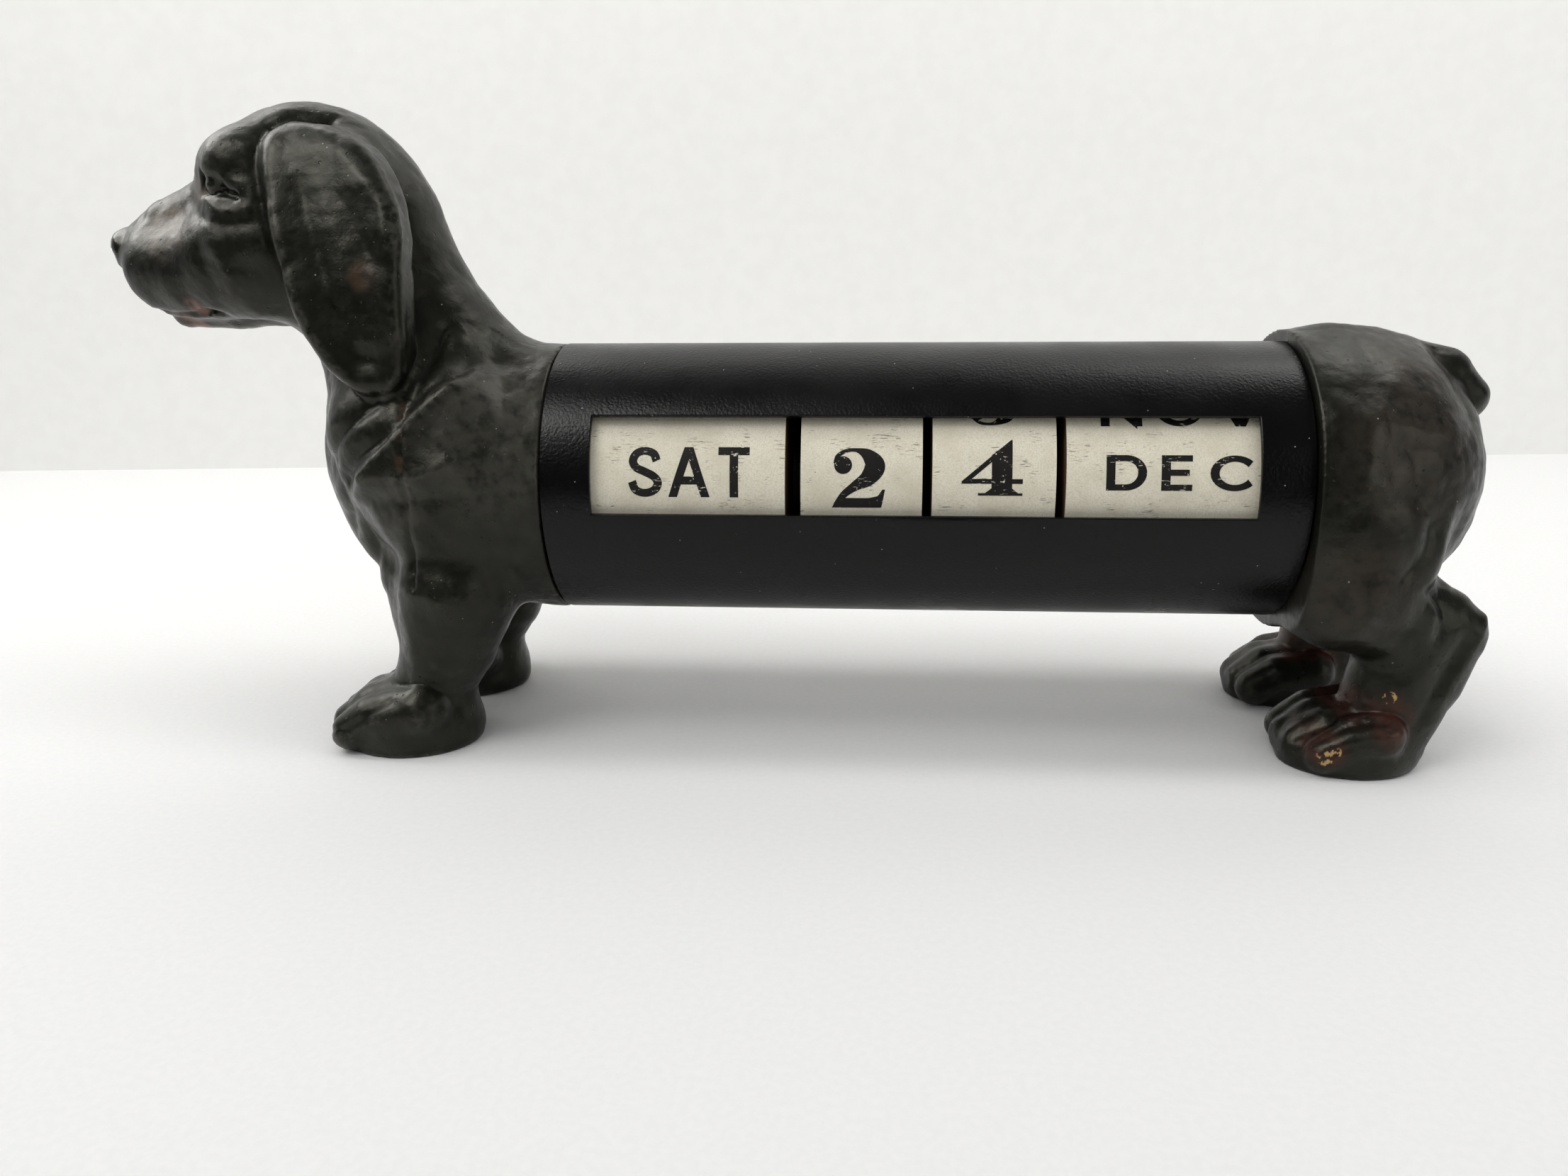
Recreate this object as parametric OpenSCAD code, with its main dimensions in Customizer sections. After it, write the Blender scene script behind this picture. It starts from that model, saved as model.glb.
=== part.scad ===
// Perpetual desk calendar in the shape of a dachshund.
// Two cast halves of the dog carry a steel tube between them. Inside the tube, four printed drums
// turn freely on one axle, and a window in the tube lets a fingertip roll each of them.
// +Z is up, the dog looks along -X, and the window faces -Y. The origin is on the table, below the
// middle of the dog's length.

/* [Tube] */
// Length of the steel tube between the two castings
tube_len = 144; // [110:1:180]
// Outside diameter of the tube
tube_d = 55.5; // [44:0.5:68]
// Sheet thickness of the tube
tube_wall = 1; // [0.6:0.1:1.5]
// Height of the tube's axis above the table
axle_h = 53.5; // [44:0.5:66]

/* [Window] */
// Plain tube left at each end of the window
window_margin = 9.7; // [6:0.1:14]
// Angle of the window's lower edge above the horizontal
window_low = -5; // [-20:1:0]
// Angle of the window's upper edge above the horizontal
window_high = 35; // [25:1:50]

/* [Drums] */
// Space between the labels and the inside of the tube
label_clear = 1.35; // [0.8:0.05:2.5]
// Thickness of the printed paper label
label_t = 0.2; // [0.1:0.05:0.4]
// Wall of the board tube under the label
shell_wall = 1.6; // [1:0.1:3]
// Thickness of the disc that closes each end of a drum
disc_t = 3; // [2:0.25:5]
// Width of the drum with the days of the week
day_w = 39; // [30:0.5:46]
// Width of the drum with the tens of the date
tens_w = 23; // [18:0.5:28]
// Width of the drum with the units of the date
units_w = 23; // [18:0.5:28]
// Gap between the weekday drum and the tens drum
wide_gap = 3; // [2:0.1:4]
// Gap at every other place between two drums and at both ends of the stack
drum_gap = 1.85; // [1.4:0.05:3]
// Play left on each side of a spacer
side_play = 0.2; // [0.1:0.05:0.4]
// Outside diameter of the spacers
spacer_d = 14; // [10:0.5:20]

/* [Axle] */
// Diameter of the steel axle rod
axle_d = 6; // [5:0.25:8]
// Radial clearance of everything that slides on the rod
axle_fit = 0.05; // [0.02:0.01:0.1]
// Width across the flats of the hexagon nuts
nut_af = 10; // [8:0.5:13]
// Thickness of the nuts
nut_t = 5; // [3:0.5:7]
// Outside diameter of the washers
washer_d = 12.5; // [10:0.5:16]
// Thickness of the washers
washer_t = 1.2; // [0.8:0.1:2]
// Rod left standing past each nut
rod_end = 1.5; // [0.5:0.5:3]

/* [Plugs] */
// Length of the plug inside the tube
plug_in = 6; // [4:0.5:9]
// Length of the plug's boss inside the casting
plug_boss = 8; // [5:0.5:12]
// Diameter of the boss
boss_d = 36; // [26:1:40]
// Radial clearance of a plug in the tube and of its boss in the casting
plug_fit = 0.1; // [0.05:0.05:0.3]

/* [Front casting] */
// Nose tip ahead of the tube's end
front_len = 97; // [84:1:114]
// Height of the crown of the head above the table
head_top = 129; // [118:1:150]
// Radius of the skull
skull_r = 21.5; // [18:0.5:25]
// Radius of the nose
nose_r = 7.8; // [6:0.2:9.5]
// Radius of the chest
chest_r = 28; // [24:0.5:32]
// Thickness of an ear
ear_t = 8; // [5:0.5:10]

/* [Rear casting] */
// Rearmost point of the rump behind the tube's end
rear_len = 41; // [36:0.5:49]
// How far the rump stands proud of the tube all round
rim_proud = 2.5; // [0:0.25:4]
// Radius of the rump
rump_r = 28.3; // [25:0.1:32]
// Radius of the hocks
hock_r = 7.2; // [5.5:0.1:8.5]

/* [Paws] */
// Middle of each paw beside the dog's centre line
paw_y = 17; // [15:0.25:21]
// Width of a paw
paw_w = 26; // [20:0.5:28]
// Height of a paw
paw_h = 14; // [11:0.5:17]

/* [Hidden] */

// Facets of round parts, and of the balls that the castings are blended from
round_fn = 96;
ball_fn = 20;
// Overshoot of every cut past the face that it leaves
cut_over = 1;

// Ends of the tube, with the whole dog centred on the origin
front_x = front_len - (front_len + tube_len + rear_len) / 2;
rear_x = front_x + tube_len;

// Radii from the tube inwards
tube_r = tube_d / 2;
tube_in_r = tube_r - tube_wall;
label_r = tube_in_r - label_clear;
shell_r = label_r - label_t;
disc_r = shell_r - shell_wall;
axle_r = axle_d / 2;
bore_r = axle_r + axle_fit;

// The drum stack fills the tube between the two plugs, and the month drum takes what is left
stack_x = front_x + plug_in;
day_x = stack_x + drum_gap;
tens_x = day_x + day_w + wide_gap;
units_x = tens_x + tens_w + drum_gap;
month_x = units_x + units_w + drum_gap;
month_w = rear_x - plug_in - drum_gap - month_x;

// Parts on the rod outside each boss, measured from the tube's end
washer_out = plug_boss;
nut_out = washer_out + washer_t;
rod_out = nut_out + nut_t + rod_end;
// Room for the washer, the nut and the rod's end in a casting
pocket_r = washer_d / 2 + 1.5;
pocket_out = rod_out + 1;

// Joint faces of the two castings against the tube
front_rim_r = tube_r;
rear_rim_r = tube_r + rim_proud;
rim_t = 4;
nose_h = head_top - 30;
neck_h = head_top - 35;
chest_h = axle_h + 2.5;
rump_h = axle_h + 3;
// Each paw is blended from four balls: two side by side at the heel and two at the toes
heel_r = paw_h * 0.6;
toe_r = paw_h * 0.55;

// A ball at [out, side, up, radius], sized so that its facets reach the full radius
module ball(p) {
    translate([p[0], p[1], p[2]]) sphere(r = p[3] / cos(180 / ball_fn), $fn = ball_fn);
}

// Balls joined one to the next
module chain(balls) {
    for (i = [0:len(balls) - 2]) hull() {
        ball(balls[i]);
        ball(balls[i + 1]);
    }
}

// One rounded body over all the balls
module blend(balls) {
    hull() for (p = balls) ball(p);
}

// A cylinder along X from x, on the axle's line
module along_x(x, length, r, fn = round_fn) {
    translate([x, 0, axle_h]) rotate([0, 90, 0]) cylinder(h = length, r = r, $fn = fn);
}

// A ring along X, on the axle's line
module ring_x(x, length, r, hole_r) {
    difference() {
        along_x(x, length, r);
        along_x(x - cut_over, length + 2 * cut_over, hole_r);
    }
}

// Casting space: x runs outwards from the tube's end, and nothing is left inside the tube's length,
// below the table, or where the plug's boss and the rod's end go
module casting(rim_r) {
    big = front_len + rear_len + head_top;
    difference() {
        children();
        translate([-big, -big, -big]) cube([big, 2 * big, 3 * big]);
        translate([-big, -big, -big]) cube([2 * big, 2 * big, big]);
        along_x(-cut_over, plug_boss + cut_over, boss_d / 2 + plug_fit, 64);
        along_x(-cut_over, pocket_out + cut_over, pocket_r, 32);
    }
}

// A paw whose toes reach out to toe_out and whose heel reaches back to heel_out
module paw(side, heel_out, toe_out) {
    way = sign(toe_out - heel_out);
    heel_y = paw_w / 2 - heel_r;
    toe_y = paw_w / 2 - toe_r;
    blend([for (s = [-1, 1]) [heel_out + way * heel_r, side * paw_y + s * heel_y, paw_h - heel_r, heel_r],
           for (s = [-1, 1]) [toe_out - way * toe_r, side * paw_y + s * toe_y, toe_r - 1.5, toe_r]]);
}

module front_casting() {
    skull_out = front_len - 51;
    foreleg_out = 25.5;
    color("#2b2b28") translate([front_x, 0, 0]) mirror([1, 0, 0]) casting(front_rim_r) {
        // Skull, muzzle and neck
        chain([[skull_out, 0, head_top - skull_r, skull_r], [skull_out + 11, 0, head_top - 21, skull_r - 3]]);
        chain([[skull_out + 18, 0, nose_h, 14], [front_len - 17, 0, nose_h - 0.5, 13],
               [front_len - nose_r, 0, nose_h + 2, nose_r]]);
        chain([[skull_out - 4, 0, nose_h, skull_r - 2], [skull_out - 7, 0, neck_h, 18.5],
               [28, 0, axle_h + 18.5, 21.5], [27, 0, chest_h, chest_r]]);
        // Chest down to the joint face
        hull() {
            ball([27, 0, chest_h, chest_r]);
            along_x(0, rim_t, front_rim_r, 64);
        }
        for (s = [-1, 1]) {
            ear_y = skull_r + 1;
            // Ear, from its root beside the crown down to its tip over the shoulder
            blend([[skull_out, s * (ear_y - 5), head_top - 11, ear_t / 2],
                   [30, s * (ear_y - 4), head_top - 15, ear_t / 2],
                   [27, s * ear_y, neck_h + 5, ear_t / 2], [skull_out, s * ear_y, neck_h, ear_t / 2],
                   [29, s * (ear_y + 2.5), neck_h - 10, ear_t / 2],
                   [34, s * (ear_y + 3.5), neck_h - 18.5, ear_t / 2]]);
            // Shoulder and foreleg
            chain([[22, s * (paw_y - 3), axle_h - 16, 14], [foreleg_out, s * paw_y, 20, 10],
                   [foreleg_out, s * paw_y, 9, 10]]);
            paw(s, foreleg_out - 9.5, 50);
        }
    }
}

module rear_casting() {
    color("#2d2a27") translate([rear_x, 0, 0]) casting(rear_rim_r) {
        hull() {
            ball([rear_len - rump_r, 0, rump_h, rump_r]);
            along_x(0, rim_t, rear_rim_r, 64);
        }
        // Tail stub
        chain([[18, 0, axle_h + 20, 9], [rear_len - 6.7, 0, axle_h + 20, 6.5]]);
        for (s = [-1, 1]) {
            hock = [rear_len - hock_r - 1.8, s * (paw_y + 1), 28, hock_r];
            chain([[11, s * (paw_y - 2), axle_h - 7, 15], [13, s * paw_y, 34, 12.5], [20, s * paw_y, 30, 10.5], hock,
                   [24, s * paw_y, 9, 8.5]]);
            paw(s, 33, 0);
        }
    }
}

module body_tube() {
    window_len = tube_len - 2 * window_margin;
    reach = 1.5 * tube_r;
    color("#16171a") difference() {
        ring_x(front_x, tube_len, tube_r, tube_in_r);
        // Wedge from the axle's line out through the window
        translate([front_x + window_margin, 0, axle_h]) rotate([90, 0, 90]) linear_extrude(window_len)
            polygon([[0, 0], [-reach * cos(window_low), reach * sin(window_low)],
                     [-reach * cos(window_high), reach * sin(window_high)]]);
    }
}

// Turned plug: a shoulder inside the tube and a boss inside the casting
module plug() {
    color("#7a6248") difference() {
        union() {
            along_x(-plug_in, plug_in, tube_in_r - plug_fit);
            along_x(-cut_over, plug_boss + cut_over, boss_d / 2);
        }
        along_x(-plug_in - cut_over, plug_in + plug_boss + 2 * cut_over, bore_r);
    }
}
module front_plug() { translate([front_x, 0, 0]) mirror([1, 0, 0]) plug(); }
module rear_plug() { translate([rear_x, 0, 0]) plug(); }

module axle_rod() {
    color("#b9bcc0") along_x(front_x - rod_out, tube_len + 2 * rod_out, axle_r);
}

module axle_washers() {
    color("#c6c8ca") for (x = [front_x - washer_out - washer_t, rear_x + washer_out])
        ring_x(x, washer_t, washer_d / 2, bore_r);
}

module axle_nuts() {
    color("#aeb1b5") for (x = [front_x - nut_out - nut_t, rear_x + nut_out]) difference() {
        along_x(x, nut_t, nut_af / 2 / cos(30), 6);
        along_x(x - cut_over, nut_t + 2 * cut_over, bore_r);
    }
}

// A spacer that fills the gap starting at x, less its play on both sides
module spacer(x, gap) {
    color("#3a2d22") ring_x(x + side_play, gap - 2 * side_play, spacer_d / 2, bore_r);
}
module front_end_spacer() { spacer(stack_x, drum_gap); }
module day_tens_spacer() { spacer(day_x + day_w, wide_gap); }
module tens_units_spacer() { spacer(tens_x + tens_w, drum_gap); }
module units_month_spacer() { spacer(units_x + units_w, drum_gap); }
module rear_end_spacer() { spacer(month_x + month_w, drum_gap); }

module label(x, w) { color("#ddd8c8") ring_x(x, w, label_r, shell_r); }
module shell(x, w) { color("#8a6b4a") ring_x(x, w, shell_r, disc_r); }
module disc(x) { color("#70563c") ring_x(x, disc_t, disc_r, bore_r); }

module day_label() { label(day_x, day_w); }
module day_shell() { shell(day_x, day_w); }
module day_left_disc() { disc(day_x); }
module day_right_disc() { disc(day_x + day_w - disc_t); }
module tens_label() { label(tens_x, tens_w); }
module tens_shell() { shell(tens_x, tens_w); }
module tens_left_disc() { disc(tens_x); }
module tens_right_disc() { disc(tens_x + tens_w - disc_t); }
module units_label() { label(units_x, units_w); }
module units_shell() { shell(units_x, units_w); }
module units_left_disc() { disc(units_x); }
module units_right_disc() { disc(units_x + units_w - disc_t); }
module month_label() { label(month_x, month_w); }
module month_shell() { shell(month_x, month_w); }
module month_left_disc() { disc(month_x); }
module month_right_disc() { disc(month_x + month_w - disc_t); }

front_casting();
rear_casting();
body_tube();
front_plug();
rear_plug();
axle_rod();
axle_washers();
axle_nuts();
front_end_spacer();
day_tens_spacer();
tens_units_spacer();
units_month_spacer();
rear_end_spacer();
day_label();
day_shell();
day_left_disc();
day_right_disc();
tens_label();
tens_shell();
tens_left_disc();
tens_right_disc();
units_label();
units_shell();
units_left_disc();
units_right_disc();
month_label();
month_shell();
month_left_disc();
month_right_disc();
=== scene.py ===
"""Looks for a perpetual desk calendar shaped like a dachshund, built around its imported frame.

Lengths inside this file are millimetres until a mesh is made. The dog looks along -X, the window
faces -Y and +Z is up. Each casting is shaped in its own space: `out` runs away from the tube's end,
`side` is the distance from the dog's middle plane and `up` is the height above the table.
"""

from __future__ import annotations

import logging
import math
from dataclasses import dataclass
from enum import Enum
from typing import Protocol, Sequence

import bpy
import numpy as np
from mathutils import Matrix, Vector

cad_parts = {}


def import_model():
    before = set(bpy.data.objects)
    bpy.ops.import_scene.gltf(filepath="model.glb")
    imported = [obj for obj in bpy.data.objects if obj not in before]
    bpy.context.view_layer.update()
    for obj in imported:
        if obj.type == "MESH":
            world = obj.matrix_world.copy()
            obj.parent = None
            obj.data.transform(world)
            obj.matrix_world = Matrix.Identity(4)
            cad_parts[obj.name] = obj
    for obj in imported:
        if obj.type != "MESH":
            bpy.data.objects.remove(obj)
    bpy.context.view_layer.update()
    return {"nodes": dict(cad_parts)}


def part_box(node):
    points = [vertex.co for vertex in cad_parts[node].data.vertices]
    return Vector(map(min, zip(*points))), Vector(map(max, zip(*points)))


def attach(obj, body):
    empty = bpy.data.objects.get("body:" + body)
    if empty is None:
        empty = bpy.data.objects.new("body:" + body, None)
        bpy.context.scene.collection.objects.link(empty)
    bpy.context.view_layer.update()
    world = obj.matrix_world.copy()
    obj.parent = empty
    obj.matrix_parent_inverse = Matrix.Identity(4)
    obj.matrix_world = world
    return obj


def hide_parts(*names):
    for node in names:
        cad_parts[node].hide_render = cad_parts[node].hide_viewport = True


LOG = logging.getLogger("desk_calendar")
METRES = 0.001
FAR_AWAY = 40.0
SMALL = 1e-6
TINY = 1e-9
ROOT_BODY = "dog_body"
WINDOW_MARGIN = 9.7

Array = np.ndarray
Point = tuple[float, float, float]


# ---------------------------------------------------------------------------------------------
# Layout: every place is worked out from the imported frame
# ---------------------------------------------------------------------------------------------


@dataclass(frozen=True)
class Span:
    """A stretch along X, in millimetres.

    Args:
        low: Left end.
        high: Right end.
    """

    low: float
    high: float

    @property
    def width(self) -> float:
        """Length of the stretch."""
        return self.high - self.low


def node_box(node: str) -> tuple[Array, Array]:
    """Gives the box of a frame node in millimetres.

    Args:
        node: Name of the node.

    Returns:
        Its lowest and highest corners.
    """
    low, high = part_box(node)
    return np.array(low) / METRES, np.array(high) / METRES


@dataclass(frozen=True)
class Layout:
    """Places and sizes that all pieces share, in millimetres."""

    tube: Span
    axle_h: float
    tube_r: float
    label_r: float
    paper_t: float
    head_top: float
    front_len: float
    rear_len: float
    rim_r: float

    @classmethod
    def from_frame(cls) -> Layout:
        """Reads the layout from the frame's boxes.

        Returns:
            The layout.
        """
        low, high = node_box("body_tube")
        front_low, front_high = node_box("front_casting")
        rear_low, rear_high = node_box("rear_casting")
        label_low, label_high = node_box("day_label")
        shell_low, shell_high = node_box("day_shell")
        label_r = (label_high[2] - label_low[2]) / 2
        return cls(
            tube=Span(low[0], high[0]),
            axle_h=(low[2] + high[2]) / 2,
            tube_r=(high[2] - low[2]) / 2,
            label_r=label_r,
            paper_t=label_r - (shell_high[2] - shell_low[2]) / 2,
            head_top=front_high[2],
            front_len=low[0] - front_low[0],
            rear_len=rear_high[0] - high[0],
            rim_r=(rear_high[1] - rear_low[1]) / 2,
        )


# ---------------------------------------------------------------------------------------------
# Meshes
# ---------------------------------------------------------------------------------------------


def make_piece(
    name: str, points: Array, faces: Array, body: str, sharp_deg: float | None = None
) -> bpy.types.Object:
    """Makes a mesh object from points in millimetres and lets it ride on a body.

    Args:
        name: Name of the piece.
        points: Corners, one row each.
        faces: Faces with the same number of corners, one row each.
        body: Body of the frame that carries the piece.
        sharp_deg: Angle past which an edge is shaded sharp, or None for smooth all over.

    Returns:
        The new object.
    """
    mesh = bpy.data.meshes.new(name)
    corners = faces.shape[1]
    mesh.vertices.add(len(points))
    mesh.vertices.foreach_set("co", (points * METRES).astype(np.float32).ravel())
    mesh.loops.add(faces.size)
    mesh.loops.foreach_set("vertex_index", faces.astype(np.int32).ravel())
    mesh.polygons.add(len(faces))
    mesh.polygons.foreach_set("loop_start", np.arange(0, faces.size, corners, dtype=np.int32))
    mesh.update(calc_edges=True)
    mesh.validate()
    mesh.shade_smooth()
    if sharp_deg is not None:
        mesh.set_sharp_from_angle(angle=math.radians(sharp_deg))
    piece = bpy.data.objects.new(name, mesh)
    bpy.context.scene.collection.objects.link(piece)
    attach(piece, body)
    return piece


def grid_faces(rows: int, columns: int, wrap_rows: bool = False, wrap_columns: bool = False) -> Array:
    """Gives the quads of a grid whose points are stored row by row.

    Args:
        rows: Number of rows of points.
        columns: Number of points in a row.
        wrap_rows: Joins the last row to the first.
        wrap_columns: Joins the last column to the first.

    Returns:
        Quads, one row each.
    """
    i, j = np.meshgrid(
        np.arange(rows if wrap_rows else rows - 1),
        np.arange(columns if wrap_columns else columns - 1),
        indexing="ij",
    )
    i_next, j_next = (i + 1) % rows, (j + 1) % columns
    quads = [i * columns + j, i_next * columns + j, i_next * columns + j_next, i * columns + j_next]
    return np.stack(quads, axis=-1).reshape(-1, 4)


def rounded(low: float, high: float, t: Array) -> Array:
    """Eases from 0 to 1 as t goes from low to high.

    Formula: s * s * (3 - 2 * s), with s the clipped share of the way.
    """
    share = np.clip((t - low) / (high - low), 0, 1)
    return share * share * (3 - 2 * share)


def spline(points: Sequence[Sequence[float]], steps: int, closed: bool = False) -> Array:
    """Carries a Catmull-Rom curve through points.

    Formula: between two points, a cubic whose tangents are half the chord of each point's neighbours.

    Args:
        points: Points that the curve passes through.
        steps: Samples from each point to the next.
        closed: Joins the last point to the first.

    Returns:
        The samples, one row each.
    """
    p = np.asarray(points, float)
    if closed:
        padded = np.vstack([p[-1:], p, p[:2]])
    else:
        padded = np.vstack([2 * p[:1] - p[1:2], p, 2 * p[-1:] - p[-2:-1]])
    t = np.arange(steps)[:, None, None] / steps
    a, b, c, d = (padded[k : len(padded) - 3 + k][None] for k in range(4))
    curve = 0.5 * (2 * b + (c - a) * t + (2 * a - 5 * b + 4 * c - d) * t**2 + (3 * b - a - 3 * c + d) * t**3)
    samples = curve.transpose(1, 0, 2).reshape(-1, p.shape[1])
    return samples if closed else np.vstack([samples, p[-1:]])


class Noise:
    """Smooth random field in space, the same on every run.

    Formula: random values on the corners of a cubic lattice, blended with eased weights.
    """

    SIZE = 32

    def __init__(self, seed: int) -> None:
        """Fills the lattice.

        Args:
            seed: Seed of the random values.
        """
        self.table = np.random.default_rng(seed).uniform(-1, 1, (self.SIZE,) * 3)

    def at(self, points: Array, length: float) -> Array:
        """Reads the field.

        Args:
            points: Places, one row each.
            length: Distance between two lattice corners.

        Returns:
            One value from -1 to 1 for each place.
        """
        scaled = points / length
        base = np.floor(scaled).astype(int)
        w = scaled - base
        w = w * w * (3 - 2 * w)
        total = np.zeros(len(points))
        for corner in np.ndindex(2, 2, 2):
            index = tuple(((base + corner) % self.SIZE).T)
            weight = np.prod(np.where(np.array(corner) == 1, w, 1 - w), axis=1)
            total += self.table[index] * weight
        return total


# ---------------------------------------------------------------------------------------------
# Sculpting: solids blended in a field of distances, then turned into a skin
# ---------------------------------------------------------------------------------------------


class Solid(Protocol):
    """Anything that can be blended into a sculpture."""

    def box(self) -> tuple[Array, Array]:
        """Gives the lowest and highest corners around the solid."""

    def distance(self, out: Array, side: Array, up: Array) -> Array:
        """Gives the distance to the solid's surface, negative inside."""


@dataclass(frozen=True)
class Limb:
    """Rounded bar through points, each with its own radius.

    Formula: distance to the nearest point of each straight stretch, less the radius there.

    Args:
        balls: (out, side, up, radius) of each point.
    """

    balls: Sequence[tuple[float, float, float, float]]

    def box(self) -> tuple[Array, Array]:
        """Gives the lowest and highest corners around the limb."""
        b = np.asarray(self.balls)
        return (b[:, :3] - b[:, 3:]).min(0), (b[:, :3] + b[:, 3:]).max(0)

    def distance(self, out: Array, side: Array, up: Array) -> Array:
        """Gives the distance to the limb's surface, negative inside.

        Args:
            out: Distances from the tube's end.
            side: Distances from the middle plane.
            up: Heights above the table.

        Returns:
            One distance for each place.
        """
        best = None
        for a, b in zip(self.balls[:-1], self.balls[1:]):
            along = np.array(b[:3]) - np.array(a[:3])
            length2 = max(float(along @ along), SMALL)
            x, y, z = out - a[0], side - a[1], up - a[2]
            t = np.clip((x * along[0] + y * along[1] + z * along[2]) / length2, 0, 1)
            gap = np.sqrt((x - t * along[0]) ** 2 + (y - t * along[1]) ** 2 + (z - t * along[2]) ** 2)
            gap = gap - (a[3] + t * (b[3] - a[3]))
            best = gap if best is None else np.minimum(best, gap)
        return best


@dataclass(frozen=True)
class Egg:
    """Ellipsoid, tipped in the out-up plane.

    Formula: k * (k - 1) / m, with k the length of the place divided by the radii, and m the length of
    the place divided by their squares.

    Args:
        middle: Centre (out, side, up).
        radii: Radii along its own three axes.
        tip_deg: Turn from out towards up.
    """

    middle: Point
    radii: Point
    tip_deg: float = 0.0

    def box(self) -> tuple[Array, Array]:
        """Gives the lowest and highest corners around the egg.

        Returns:
            Two corners, each (out, side, up).
        """
        tipped = max(self.radii[0], self.radii[2])
        reach = np.array([tipped, self.radii[1], tipped])
        return np.array(self.middle) - reach, np.array(self.middle) + reach

    def distance(self, out: Array, side: Array, up: Array) -> Array:
        """Gives the distance to the egg's surface, negative inside.

        Args:
            out: Distances from the tube's end.
            side: Distances from the middle plane.
            up: Heights above the table.

        Returns:
            One distance for each place.
        """
        c, s = math.cos(math.radians(self.tip_deg)), math.sin(math.radians(self.tip_deg))
        x, y, z = out - self.middle[0], side - self.middle[1], up - self.middle[2]
        p = ((x * c + z * s), y, (z * c - x * s))
        k = np.sqrt(sum((v / r) ** 2 for v, r in zip(p, self.radii)))
        m = np.sqrt(sum((v / r**2) ** 2 for v, r in zip(p, self.radii)))
        return k * (k - 1) / np.maximum(m, SMALL)


@dataclass(frozen=True)
class Flap:
    """Hanging ear: a thick sheet with a drawn outline, whose outer face bows and folds.

    Formula: the larger of the flat distance to the outline and the depth behind the outer face,
    with the edge between them rounded over.

    Args:
        outline: (out, up) points of the outline, in order.
        rise: (up, side) points of the outer face's middle line.
        thickness: Depth of the sheet.
        edge: Radius of the rounded edge.
    """

    outline: Array
    rise: Sequence[tuple[float, float]]
    thickness: float
    edge: float

    MARGIN = 2.0

    def box(self) -> tuple[Array, Array]:
        """Gives the lowest and highest corners around the flap.

        Returns:
            Two corners, each (out, side, up).
        """
        side = [s for _, s in self.rise]
        low, high = self.outline.min(0), self.outline.max(0)
        return (
            np.array([low[0], min(side) - self.thickness, low[1]]) - self.MARGIN,
            np.array([high[0], max(side), high[1]]) + self.MARGIN,
        )

    def distance(self, out: Array, side: Array, up: Array) -> Array:
        """Gives the distance to the flap's surface, negative inside.

        Args:
            out: Distances from the tube's end.
            side: Distances from the middle plane.
            up: Heights above the table.

        Returns:
            One distance for each place.
        """
        flat = outline_distance(self.outline, out, up)
        heights, sides = zip(*sorted(self.rise))
        face = np.interp(up, heights, sides)
        depth = np.maximum(side - face, face - self.thickness - side)
        a, b = flat + self.edge, depth + self.edge
        corner = np.hypot(np.maximum(a, 0), np.maximum(b, 0))
        return np.minimum(np.maximum(a, b), 0) + corner - self.edge


def outline_distance(outline: Array, x: Array, y: Array) -> Array:
    """Gives the flat distance to a closed outline, negative inside.

    Formula: the least distance to its sides, with its sign from the number of sides crossed.

    Args:
        outline: Corners of the outline, in order.
        x: First coordinates of the places.
        y: Second coordinates of the places.

    Returns:
        One distance for each place.
    """
    best = np.full(np.broadcast_shapes(x.shape, y.shape), np.inf)
    inside = np.zeros(best.shape, bool)
    for a, b in zip(outline, np.roll(outline, -1, axis=0)):
        along = b - a
        px, py = x - a[0], y - a[1]
        t = np.clip((px * along[0] + py * along[1]) / (along @ along), 0, 1)
        best = np.minimum(best, (px - t * along[0]) ** 2 + (py - t * along[1]) ** 2)
        inside ^= ((a[1] > y) != (b[1] > y)) & (x < along[0] * (y - a[1]) / (along[1] or TINY) + a[0])
    return np.where(inside, -1, 1) * np.sqrt(best)


BOTH = (0, 1)
NEAR, FAR = (0,), (1,)


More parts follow.
